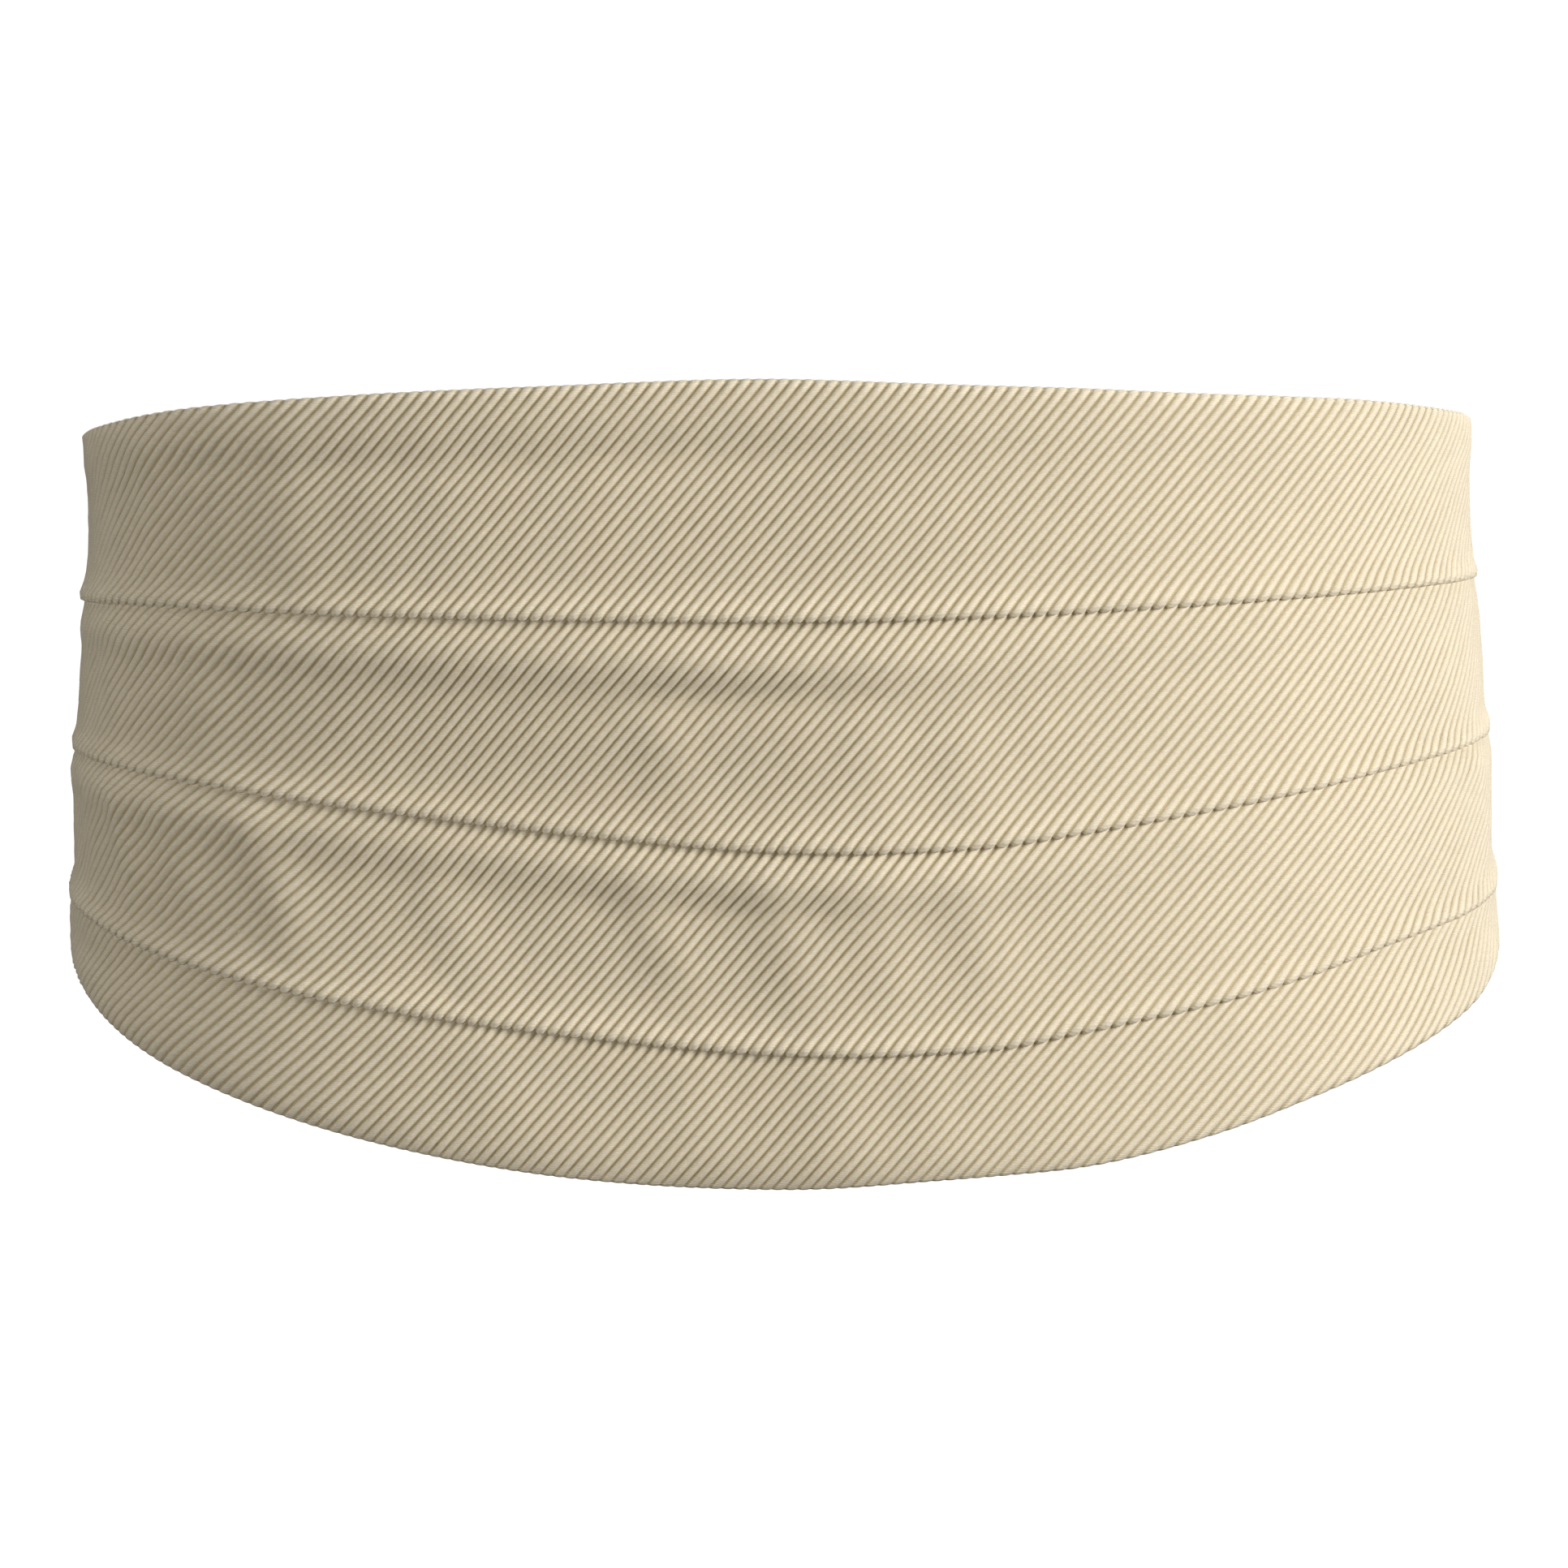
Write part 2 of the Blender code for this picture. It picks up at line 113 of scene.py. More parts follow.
@dataclass
class WaistForm:
    """The oval that the garment goes round, with the ridge, dent and corner that the front shows."""

    half_width: float = 0.1393
    front_depth: float = 0.1046
    back_depth: float = 0.0880
    squareness: float = 2.6
    spread: float = 0.075
    steps: int = 24000
    reach: float = 0.0015
    ridge_arc: float = 0.015
    ridge_widths: tuple[float, float] = (0.026, 0.044)
    ridge_rise: float = 0.0042
    ridge_top_share: float = 0.50
    ridge_full_below: float = 0.040
    ridge_full_over: float = 0.070
    hollow: tuple[float, float] = (-0.060, -0.016)
    hollow_size: tuple[float, float] = (0.049, 0.036)
    hollow_depth: float = 0.0062
    corner: tuple[float, float] = (0.115, 0.055)
    corner_depth: float = 0.0028
    corner_end: tuple[float, float] = (0.180, 0.045)
    trim_from: float = 0.080
    trim_over: float = 0.050
    arcs: Array = field(init=False, repr=False)
    x: Array = field(init=False, repr=False)
    y: Array = field(init=False, repr=False)

    def __post_init__(self) -> None:
        """Walks half the oval once, so that any arc can be looked up."""
        turn = np.linspace(0.0, math.pi, self.steps + 1)
        power = 2.0 / self.squareness
        ahead = np.cos(turn)
        depth = np.where(ahead > 0, self.front_depth, self.back_depth)
        self.x = self.half_width * np.abs(np.sin(turn)) ** power
        self.y = -depth * np.sign(ahead) * np.abs(ahead) ** power
        self.arcs = np.concatenate(([0.0], np.cumsum(np.hypot(np.diff(self.x), np.diff(self.y)))))

    @property
    def half_girth(self) -> float:
        """Arc of the centre back."""
        return float(self.arcs[-1])

    def point(self, arc: Array) -> tuple[Array, Array]:
        """X and Y of the oval at arcs of either sign."""
        x = np.interp(np.abs(arc), self.arcs, self.x)
        return np.sign(arc) * x, np.interp(np.abs(arc), self.arcs, self.y)

    def outward(self, arc: Array) -> tuple[Array, Array]:
        """X and Y of the oval's outward normal.

        Args:
            arc: Distances round the waist.

        Returns:
            The normal's two parts.
        """
        ahead = self.point(np.minimum(arc + self.reach, self.half_girth))
        behind = self.point(np.maximum(arc - self.reach, -self.half_girth))
        along_x, along_y = ahead[0] - behind[0], ahead[1] - behind[1]
        length = np.hypot(along_x, along_y)
        return along_y / length, -along_x / length

    def ridge(self, arc: Array, height: Array) -> Array:
        """How far the soft ridge stands out, less the broad dent beside it and the rounder corner.

        Args:
            arc: Distances round the waist.
            height: Heights in the frame.

        Returns:
            Distances out from the oval.
        """
        away = (arc - self.ridge_arc) / np.where(arc < self.ridge_arc, *self.ridge_widths)
        full = smooth((self.ridge_full_below - height) / self.ridge_full_over)
        fading = self.ridge_top_share + (1.0 - self.ridge_top_share) * full
        sideways = (arc - self.hollow[0]) / self.hollow_size[0]
        upwards = (height - self.hollow[1]) / self.hollow_size[1]
        hollow = self.hollow_depth * np.exp(-(sideways**2) - upwards**2)
        return self.ridge_rise * fading / (1.0 + away * away) - hollow - self.corner_cut(arc)

    def corner_cut(self, arc: Array) -> Array:
        """How much rounder than the oval the front corner on the wearer's left is."""
        cut = self.corner_depth * np.exp(-(((arc - self.corner[0]) / self.corner[1]) ** 2))
        return cut * smooth((self.corner_end[0] - arc) / self.corner_end[1])

    def place(self, arc: Array, offset: Array, height: Array) -> Array:
        """Points in the frame.

        Args:
            arc: Distances round the waist.
            offset: Distances out from it.
            height: Heights in the frame.

        Returns:
            An array with a last axis of X, Y and Z.
        """
        x, y = self.point(arc)
        out_x, out_y = self.outward(arc)
        heights, trims = np.array(SIDE_TRIM).T * MM
        at_side = smooth((np.abs(arc) - self.trim_from) / self.trim_over)
        out = offset - self.spread * height + self.ridge(arc, height)
        out = out - curve_through(heights, trims, height) * at_side
        return np.stack((x + out_x * out, y + out_y * out, height + 0.0 * arc), axis=-1)


@dataclass(frozen=True)
class RibWeave:
    """The cloth's cords: how they lie in it and how high they stand."""

    pitch: float = 2.35 * MM
    lean: float = math.radians(49.0)
    height: float = 0.78 * MM
    back_height: float = 0.09 * MM
    wall: float = 0.26 * MM
    groove_floor: float = 0.12
    crest_from: float = 0.92
    samples: tuple[float, ...] = (0.0, 0.10, 0.22, 0.38, 0.62, 0.78, 0.90)
    uneven: float = 0.09
    wander: float = 0.05 * MM
    widening: float = 0.34
    widens_from: tuple[float, float] = (0.055, 0.025)
    widens_over: tuple[float, float] = (0.063, 0.105)
    pattern_reach: float = 0.45
    pattern_steps: int = 1801
    slow_wave: tuple[float, float] = (0.013, 0.009)
    quick_wave: tuple[float, float] = (0.005, 0.003)
    wave_shares: tuple[float, float] = (0.6, 0.4)
    seed: int = 11
    seeded_ribs: int = 4096
    settling: int = 14

    def spaced(self) -> tuple[Array, Array]:
        """Spaces the ribs' pattern, which is wider at the sides.

        Returns:
            Arcs, and the distances across the pattern there.
        """
        arcs = np.linspace(-self.pattern_reach, self.pattern_reach, self.pattern_steps)
        left, right = (
            smooth((np.abs(arcs) - start) / over) for start, over in zip(self.widens_from, self.widens_over)
        )
        widths = 1.0 + self.widening * np.where(arcs < 0, left, right)
        steps = np.diff(arcs) * (1.0 / widths[1:] + 1.0 / widths[:-1]) / 2
        walked = np.concatenate(([0.0], np.cumsum(steps)))
        return arcs, walked - walked[-1] / 2

    def pattern_at(self, arc: Array) -> Array:
        """Distance across the pattern at arcs."""
        arcs, walked = self.spaced()
        return np.interp(arc, arcs, walked)

    def arc_at(self, pattern: Array) -> Array:
        """Arcs at distances across the pattern."""
        arcs, walked = self.spaced()
        return np.interp(pattern, walked, arcs)

    @property
    def run(self) -> float:
        """How far a rib goes along the waist for each metre up."""
        return 1.0 / math.tan(self.lean)

    def profile(self, phase: Array) -> Array:
        """Height share of a rib: 0 in the groove, then a steep flank, and 1 along a broad crest."""
        rounded = np.abs(np.sin(math.pi * phase))
        return smooth((rounded - self.groove_floor) / (self.crest_from - self.groove_floor))

    def lines(self, low: float, high: float) -> tuple[Array, Array]:
        """The columns that follow the ribs.

        Args:
            low: Where the first has to start, along the waist at height 0.
            high: Where the last has to end.

        Returns:
            Their places along the waist and the number of the rib that each is on.
        """
        numbers = np.arange(math.floor(low / self.pitch), math.ceil(high / self.pitch) + 1)
        phases = (numbers[:, None] + np.array(self.samples)[None, :]).ravel()
        return phases * self.pitch, np.repeat(numbers, len(self.samples))

    def unevenness(self, rib: Array, cloth_height: Array) -> tuple[Array, Array]:
        """How a rib's height and place vary along it, the same in each run.

        Args:
            rib: Numbers of the ribs.
            cloth_height: Heights in the cloth.

        Returns:
            A factor on the rib's height, and its shift along the waist.
        """
        seeds = np.random.default_rng(self.seed).uniform(0.0, 1.0, (self.seeded_ribs, 4))[
            rib % self.seeded_ribs
        ]
        slow, quick = (
            2 * math.pi * (cloth_height / (least + more * seeds[..., at]) + seeds[..., at + 1])
            for (least, more), at in ((self.slow_wave, 0), (self.quick_wave, 2))
        )
        most, rest = self.wave_shares
        factor = 1.0 + self.uneven * (most * np.sin(slow) + rest * np.sin(quick) + seeds[..., 2] - 0.5)
        return factor, self.wander * (most * np.sin(slow + 1.0) + rest * np.sin(quick + 2.0))


class Line(Enum):
    """The lines that run along the front, by their column in the table."""

    TOP = 1
    FOLD_1 = 2
    FOLD_2 = 3
    FOLD_3 = 4
    BOTTOM = 5


# Arc, then the heights of the top edge, the three folds and the bottom edge, in mm.
FRONT_LINES = (
    (-300, 34.0, 16.0, 1.0, -14.0, -28.0),
    (-250, 41.5, 20.0, -0.5, -21.0, -33.0),
    (-215, 50.2, 23.2, -2.2, -28.2, -37.5),
    (-185, 57.3, 26.0, -3.0, -32.2, -42.2),
    (-155, 62.3, 28.9, -1.8, -33.0, -48.7),
    (-120, 68.1, 31.2, -2.0, -36.9, -57.8),
    (-80, 72.0, 31.9, -5.1, -42.0, -66.9),
    (-40, 74.0, 31.6, -8.9, -46.2, -72.9),
    (0, 74.9, 31.2, -11.6, -49.2, -74.7),
    (28, 73.6, 31.2, -11.6, -49.3, -73.4),
    (40, 72.9, 31.3, -11.2, -48.9, -73.0),
    (54, 72.1, 31.4, -9.8, -46.9, -72.4),
    (80, 70.0, 31.5, -7.2, -43.5, -68.4),
    (100, 68.4, 31.3, -5.5, -40.6, -64.0),
    (120, 66.5, 30.8, -3.8, -37.5, -59.8),
    (155, 61.7, 29.2, -3.0, -35.1, -52.5),
    (185, 57.0, 26.8, -3.4, -33.5, -44.1),
    (215, 49.8, 23.6, -2.4, -28.5, -38.0),
    (250, 41.5, 20.0, -0.5, -21.0, -33.0),
    (300, 34.0, 16.0, 1.0, -14.0, -28.0),
)
FRONT_END = FRONT_LINES[-1][0] * MM
LINE_TABLE = np.array(FRONT_LINES) * MM


def line_height(line: Line, arc: Array) -> Array:
    """Height of one of the front's lines."""
    return curve_through(LINE_TABLE[:, 0], LINE_TABLE[:, line.value], arc)


CREASE_END = 1.3  # how gently a crease runs out at its ends, as a share of its width


class Crease(NamedTuple):
    """A soft ridge across a pleat, or a trough if its rise is below 0. Places and sizes in mm."""

    arc: float
    height: float
    end_arc: float
    end_height: float
    width: float
    rise: float

    def relief(self, arc: Array, height: Array) -> Array:
        """How far the crease lifts the cloth.

        Args:
            arc: Distances round the waist.
            height: Heights in the frame.

        Returns:
            The lifts, in metres.
        """
        start = np.array((self.arc, self.height)) * MM
        along = np.array((self.end_arc, self.end_height)) * MM - start
        length = float(np.hypot(*along))
        along /= length
        forward = (arc - start[0]) * along[0] + (height - start[1]) * along[1]
        across = (height - start[1]) * along[0] - (arc - start[0]) * along[1]
        past = np.maximum(np.maximum(-forward, forward - length), 0.0)
        width = self.width * MM
        return self.rise * MM * np.exp(-((across / width) ** 2) - (past / (CREASE_END * width)) ** 2)


class Edge(Enum):
    """How a pleat's cloth ends at its upper or lower line."""

    HEM = "turned in"
    FOLD = "goes on behind the next pleat"


class Stretch(Enum):
    """The stretches that a pleat's cloth goes through, from its upper end to its lower one."""

    UPPER_LAYER = 0
    UPPER_TURN = 1
    TUCKED = 2
    FACE_TOP = 3
    FACE_MIDDLE = 4
    FACE_LOW = 5
    LOWER_TURN = 6
    LOWER_LAYER = 7


class Row(NamedTuple):
    """One row of a pleat's grid: its stretch and its place in it.

    The place is a share of the stretch, but at the face's top and bottom it is a distance in mm from
    the face's upper or lower line.
    """

    stretch: Stretch
    at: float


# Where the rows lie, from the cloth's upper end to the face, and from the face to its lower end.
UPPER_ROWS = {
    Edge.HEM: (
        (Stretch.UPPER_LAYER, (1.0, 0.75, 0.5, 0.25)),
        (Stretch.UPPER_TURN, (0.0, 0.3, 0.55, 0.8)),
        (Stretch.FACE_TOP, (0.0, 1.4)),
    ),
    Edge.FOLD: (
        (Stretch.UPPER_LAYER, (1.0,)),
        (Stretch.UPPER_TURN, (0.0, 0.5, 1.0)),
        (Stretch.TUCKED, (0.45, 0.05)),
        (Stretch.FACE_TOP, (0.7, 1.8)),
    ),
}
LOWER_ROWS = {
    Edge.FOLD: (
        (Stretch.FACE_LOW, (7.5, 4.6, 2.7, 1.4, 0.4)),
        (Stretch.LOWER_TURN, (0.2, 0.45, 0.7, 1.0)),
        (Stretch.LOWER_LAYER, (1.0,)),
    ),
    Edge.HEM: (
        (Stretch.FACE_LOW, (7.0, 3.5, 1.2)),
        (Stretch.LOWER_TURN, (0.0, 0.25, 0.5, 0.75, 1.0)),
        (Stretch.LOWER_LAYER, (0.25, 0.5, 0.75, 1.0)),
    ),
}


class Placed(NamedTuple):
    """Where one row's points lie: offsets, heights, cloth heights, and the share of the ribs' height."""

    offset: Array
    height: Array
    cloth_height: Array
    ribs: float


@dataclass(frozen=True)
class PleatForm:
    """One pleat's face and how it ends: its lines, its creases and its cross-section.

    Each point of the form is a share of the face from its upper line, the offset in mm at the sides and
    on the smooth left of the front, and the offset where the form is full, right of the centre.
    """

    name: str
    upper: Line
    lower: Line
    upper_edge: Edge
    lower_edge: Edge
    form: tuple[tuple[float, float, float], ...]
    creases: tuple[Crease, ...]
    middle_rows: int


@dataclass
class PleatCloth:
    """A pleat's cloth: a grid that follows the ribs, laid on the waist.

    The skin is how far the middle of the cloth lies out from the waist where the face is plain, and
    each radius is that of a turn in the cloth.
    """

    plan: PleatForm
    waist: WaistForm
    weave: RibWeave
    shift: float
    skin: float = 1.12 * MM
    fold_depth: float = 11.0 * MM
    fold_share: float = 0.42
    fold_radius: float = 0.38 * MM
    tuck_radius: float = 0.18 * MM
    tuck_dip: float = 0.55 * MM
    roll: float = 0.62 * MM
    roll_reach: float = 2.2 * MM
    hem_radius: float = 0.36 * MM
    hem_filling: float = 0.80
    filled_level: float = 0.72
    layer_slack: float = 0.3 * MM
    low_hem_share: float = 0.8
    layer_dip: float = 0.25 * MM
    hidden_ribs: float = 0.3
    top_hem_ribs: float = 0.6
    low_hem_ribs: float = 0.5
    top_margin: float = 3.2 * MM
    low_margin: float = 12.0 * MM
    full_tall: float = 30 * MM
    crease_margins: tuple[float, float] = (3.0 * MM, 5.0 * MM)
    pressed_from: float = 0.286
    pressed_over: float = 0.010
    pressed_share: float = 0.45
    turned_fading: float = 0.5
    normal_step: float = 0.2 * MM
    span_arcs: int = 121

    def depth(self, line: Line, above: Line, arc: Array) -> Array:
        """How far the cloth goes up behind a fold."""
        tall = line_height(above, arc) - line_height(line, arc)
        return np.minimum(self.fold_depth, self.fold_share * tall)

    def tuck_depth(self, arc: Array) -> Array:
        """How far this pleat's cloth goes up behind the pleat above it."""
        above = Line(self.plan.upper.value - 1)
        return self.depth(self.plan.upper, above, arc)

    def face_offset(self, arc: Array, height: Array) -> Array:
        """Offset of the middle of the cloth on the pleat's face.

        Args:
            arc: Distances round the waist.
            height: Heights in the frame.

        Returns:
            Distances out from the waist.
        """
        upper, lower = line_height(self.plan.upper, arc), line_height(self.plan.lower, arc)
        tall = upper - lower
        share = np.clip((upper - height) / tall, 0.0, 1.0)
        knots = np.array(self.plan.form)
        strength = np.interp(arc, *np.array(FORM_STRENGTH).T)
        plain, full = (curve_through(knots[:, 0], knots[:, column] * MM, share) for column in (1, 2))
        offset = plain + (full - plain) * strength
        creases = sum(crease.relief(arc, height) for crease in self.plan.creases)
        above, below = self.crease_margins
        faded = smooth((upper - height) / above) * smooth((height - lower) / below)
        offset = offset + creases * faded
        if self.plan.lower_edge is Edge.FOLD:
            offset = offset + self.roll * np.exp(-(((height - lower) / self.roll_reach) ** 2))
        pressed = smooth((np.abs(arc) - self.pressed_from) / self.pressed_over)
        return self.skin + offset * (1.0 - self.pressed_share * pressed)

    def tucked_offset(self, above: Array, depth: Array) -> Array:
        """Offset of the cloth behind the pleat above it, at a distance above the upper line."""
        return self.skin - self.tuck_dip * smooth(above / depth)

    def upper_end(self, row: Row, arc: Array) -> Placed:
        """The cloth's upper end: a hem turned in, or a turn and a layer behind the pleat above.

        Args:
            row: The row.
            arc: Arcs of its points.

        Returns:
            Where they lie.
        """
        upper = line_height(self.plan.upper, arc)
        hem = self.plan.upper_edge is Edge.HEM
        if hem:
            radius, side, layer = self.hem_radius, -1.0, self.fold_depth
            turn_height = upper - radius
            centre = self.face_offset(arc, turn_height) - radius
        else:
            depth = self.tuck_depth(arc)
            radius, side, layer = self.tuck_radius, 1.0, depth / 2
            turn_height = upper + depth
            centre = self.tucked_offset(depth, depth) + radius
        if row.stretch is Stretch.UPPER_TURN:
            turn = math.pi * row.at
            offset = centre + side * radius * math.cos(turn)
            height = turn_height + radius * math.sin(turn)
            ribs = 1.0 if hem else self.hidden_ribs
            return Placed(offset, height, turn_height + radius * (math.pi - turn), ribs)
        down = row.at * layer
        cloth = turn_height + math.pi * radius + down
        if hem:
            offset = self.face_offset(arc, turn_height - down) - 2 * radius
            return Placed(offset, turn_height - down, cloth, self.top_hem_ribs)
        offset = centre + radius + self.layer_slack * row.at
        return Placed(offset, turn_height - down, cloth, self.hidden_ribs)

    def face(self, row: Row, arc: Array) -> Placed:
        """The face, whose rows keep their distance from its lines and share out its middle.

        Args:
            row: The row.
            arc: Arcs of its points.

        Returns:
            Where they lie.
        """
        top = line_height(self.plan.upper, arc)
        if self.plan.upper_edge is Edge.HEM:
            top = top - self.hem_radius
        low = line_height(self.plan.lower, arc)
        low = low + (self.hem_radius if self.plan.lower_edge is Edge.HEM else self.fold_radius)
        tall = top - low
        drawn_in = np.minimum(1.0, tall / self.full_tall)
        if row.stretch is Stretch.FACE_TOP:
            height = top - row.at * MM
        elif row.stretch is Stretch.FACE_LOW:
            height = low + row.at * MM * drawn_in
        else:
            height = top - self.top_margin - (tall - self.top_margin - self.low_margin * drawn_in) * row.at
        return Placed(self.face_offset(arc, height), height, height, 1.0)

    def lower_end(self, row: Row, arc: Array) -> Placed:
        """The cloth's lower end: a hem turned in, or the fold and a layer behind the face.

        Args:
            row: The row.
            arc: Arcs of its points.

        Returns:
            Where they lie.
        """
        hem = self.plan.lower_edge is Edge.HEM
        radius = self.hem_radius if hem else self.fold_radius
        low = line_height(self.plan.lower, arc) + radius
        centre = self.face_offset(arc, low) - radius
        if row.stretch is Stretch.LOWER_TURN:
            turn = math.pi * row.at
            offset = centre + radius * math.cos(turn)
            ribs = 1.0 - self.turned_fading * row.at
            return Placed(offset, low - radius * math.sin(turn), low - radius * turn, ribs)
        if hem:
            up = row.at * self.fold_depth * self.low_hem_share
            offset = self.face_offset(arc, low + up) - 2 * radius
            return Placed(offset, low + up, low - math.pi * radius - up, self.low_hem_ribs)
        up = row.at * self.depth(self.plan.lower, self.plan.upper, arc) / 2
        offset = centre - radius - row.at * (centre - radius - self.skin + self.layer_dip)
        return Placed(offset, low + up, low - math.pi * radius - up, self.hidden_ribs)

    def row(self, row: Row, arc: Array) -> Placed:
        """Where one row of the grid lies.

        Args:
            row: The row.
            arc: Arcs of its points.

        Returns:
            Where they lie.
        """
        if row.stretch in (Stretch.UPPER_LAYER, Stretch.UPPER_TURN):
            return self.upper_end(row, arc)
        if row.stretch is Stretch.TUCKED:
            depth = self.tuck_depth(arc)
            height = line_height(self.plan.upper, arc) + row.at * depth
            return Placed(self.tucked_offset(row.at * depth, depth), height, height, self.hidden_ribs)
        if row.stretch in (Stretch.LOWER_TURN, Stretch.LOWER_LAYER):
            return self.lower_end(row, arc)
        return self.face(row, arc)

    def rows(self) -> list[Row]:
        """The grid's rows, close together at the turns and wide apart on the face.

        Returns:
            The rows, from the cloth's upper end to its lower one.
        """
        upper, lower, count = self.plan.upper_edge, self.plan.lower_edge, self.plan.middle_rows
        middle = tuple(step / (count - 1) for step in range(count))
        stretches = (*UPPER_ROWS[upper], (Stretch.FACE_MIDDLE, middle), *LOWER_ROWS[lower])
        return [Row(stretch, at) for stretch, places in stretches for at in places]

    def filling(self, row: Row) -> float:
        """How far the grooves are filled on one row, so that a hem's edge is nearly straight."""
        edges = {Stretch.UPPER_TURN: self.plan.upper_edge, Stretch.LOWER_TURN: self.plan.lower_edge}
        return self.hem_filling if edges.get(row.stretch) is Edge.HEM else 0.0

    def point(self, row: Row, arc: Array) -> Array:
        """Points of the middle of the cloth on one row."""
        placed = self.row(row, arc)
        return self.waist.place(arc, placed.offset, placed.height)

    def cloth_span(self) -> tuple[float, float]:
        """Reads how far the pleat's cloth reaches.

        Returns:
            Its lowest and its highest cloth height.
        """
        arcs = np.linspace(-FRONT_END, FRONT_END, self.span_arcs)
        first, *_, last = self.rows()
        lowest = self.row(last, arcs).cloth_height.min()
        return float(lowest), float(self.row(first, arcs).cloth_height.max())

    def cloth_height_at_centre(self, row: Row) -> float:
        """Cloth height of one row at the centre front."""
        return float(self.row(row, np.zeros(1)).cloth_height[0])

    def downwards(self, rows: list[Row], number: int, arc: Array, middle: Array) -> Array:
        """Direction down the cloth on one row, from the rows before and after it.

        Args:
            rows: The grid's rows.
            number: The row's number.
            arc: Arcs of its points.
            middle: Its points.

        Returns:
            The directions, not of unit length.
        """
        steps = []
        for other, way in ((number - 1, 1.0), (number + 1, -1.0)):
            if 0 <= other < len(rows):
                step = way * (middle - self.point(rows[other], arc))
                steps.append(step / (np.linalg.norm(step, axis=1, keepdims=True) + 1e-9) ** 2)
        return sum(steps)

    def build(self) -> bpy.types.Object:
        """Models the pleat.

        Returns:
            The pleat's object.
        """
        rows, weave = self.rows(), self.weave
        low, high = self.cloth_span()
        end = float(weave.pattern_at(np.array(FRONT_END)))
        lines, ribs = weave.lines(-end - weave.run * high + self.shift, end - weave.run * low + self.shift)
        shape = (len(rows), len(lines))
        middle, outward = np.zeros((*shape, 3)), np.zeros((*shape, 3))
        rib, cloth = np.zeros(shape), np.zeros((*shape, 2))
        profile = weave.profile(lines / weave.pitch)
        for number, row in enumerate(rows):
            arc = np.clip(weave.arc_at(lines - self.shift), -FRONT_END, FRONT_END)
            for _ in range(weave.settling):
                cloth_height = self.row(row, arc).cloth_height
                factor, moved = weave.unevenness(ribs, cloth_height)
                pattern = lines - self.shift + weave.run * cloth_height + moved
                arc = np.clip(weave.arc_at(pattern), -FRONT_END, FRONT_END)
            placed = self.row(row, arc)
            middle[number] = self.point(row, arc)
            along = self.point(row, arc + self.normal_step) - self.point(row, arc - self.normal_step)
            normal = np.cross(self.downwards(rows, number, arc, middle[number]), along)
            outward[number] = normal / (np.linalg.norm(normal, axis=1, keepdims=True) + 1e-12)
            rib[number] = profile * factor
            rib[number] += (self.filled_level - rib[number]) * self.filling(row)
            rib[number] *= placed.ribs
            cloth[number, :, 0] = weave.pattern_at(arc) + self.shift
            cloth[number, :, 1] = placed.cloth_height
        return cloth_object(self.plan.name, middle, outward, rib, cloth, weave)


MERGED_WITHIN = 1e-6  # points of a cloth nearer than this become one


def cloth_object(
    name: str,
    middle: Array,
    outward: Array,
    ribs: Array,
    cloth: Array,
    weave: RibWeave,
    thick: Array | None = None,
) -> bpy.types.Object:
    """Makes a ribbed cloth from a grid.

    Args:
        name: The object's name.
        middle: Points of the middle of the cloth, by row and column.
        outward: Unit normals of its right side.
        ribs: Shares of the ribs' height.
        cloth: Places in the cloth, for the pattern of its weave.
        weave: The cloth's weave.
        thick: Shares of the cloth's thickness, for a doubled cloth with ribs on both sides.

    Returns:
        The object, with its place in its mesh.
    """
    row_count, column_count = ribs.shape
    bpy.ops.object.select_all(action="DESELECT")
    bpy.ops.mesh.primitive_grid_add(x_subdivisions=column_count - 1, y_subdivisions=row_count - 1)
    piece = bpy.context.object
    piece.name = piece.data.name = name
    mesh = piece.data
    mesh.vertices.foreach_set("co", middle[::-1].ravel())
    store(mesh, "side", "FLOAT_VECTOR", outward[::-1])
    store(mesh, "rib", "FLOAT", ribs[::-1])
    store(mesh, "thick", "FLOAT", (np.ones_like(ribs) if thick is None else thick)[::-1])
    padded = np.concatenate((cloth, np.zeros((*ribs.shape, 1))), axis=-1)
    store(mesh, "cloth", "FLOAT_VECTOR", padded[::-1])
    bpy.ops.object.mode_set(mode="EDIT")
    bpy.ops.mesh.select_all(action="SELECT")
    bpy.ops.mesh.remove_doubles(threshold=MERGED_WITHIN)
    bpy.ops.object.mode_set(mode="OBJECT")
    single = len(mesh.vertices)
    wall = piece.modifiers.new("Wall", "SOLIDIFY")
    wall.thickness = weave.wall
    wall.offset = -1.0
    bpy.ops.object.modifier_apply(modifier=wall.name)
    count = len(mesh.vertices)
    points = read(mesh, None, count)
    side, height, places = read(mesh, "side", count), read(mesh, "rib", count), read(mesh, "cloth", count)
    points[single:] = points[:single]
    face = np.ones(count)
    face[single:] = -1.0
    back_height = weave.back_height if thick is None else weave.height
    half_wall = weave.wall / 2 * read(mesh, "thick", count)[:, 0]
    lift = np.where(face > 0, weave.height, back_height) * height[:, 0] + half_wall
    points += side * (face * lift)[:, None]
    mesh.vertices.foreach_set("co", points.ravel())
    corners = np.zeros(len(mesh.loops), dtype=np.int32)
    mesh.loops.foreach_get("vertex_index", corners)
    pattern = mesh.uv_layers.active or mesh.uv_layers.new(name="weave")
    pattern.name = "weave"
    pattern.data.foreach_set("uv", places[corners, :2].ravel())
    for name_used in ("side", "rib", "thick", "cloth"):
        mesh.attributes.remove(mesh.attributes[name_used])
    mesh.update()
    bpy.ops.object.shade_smooth()
    return piece


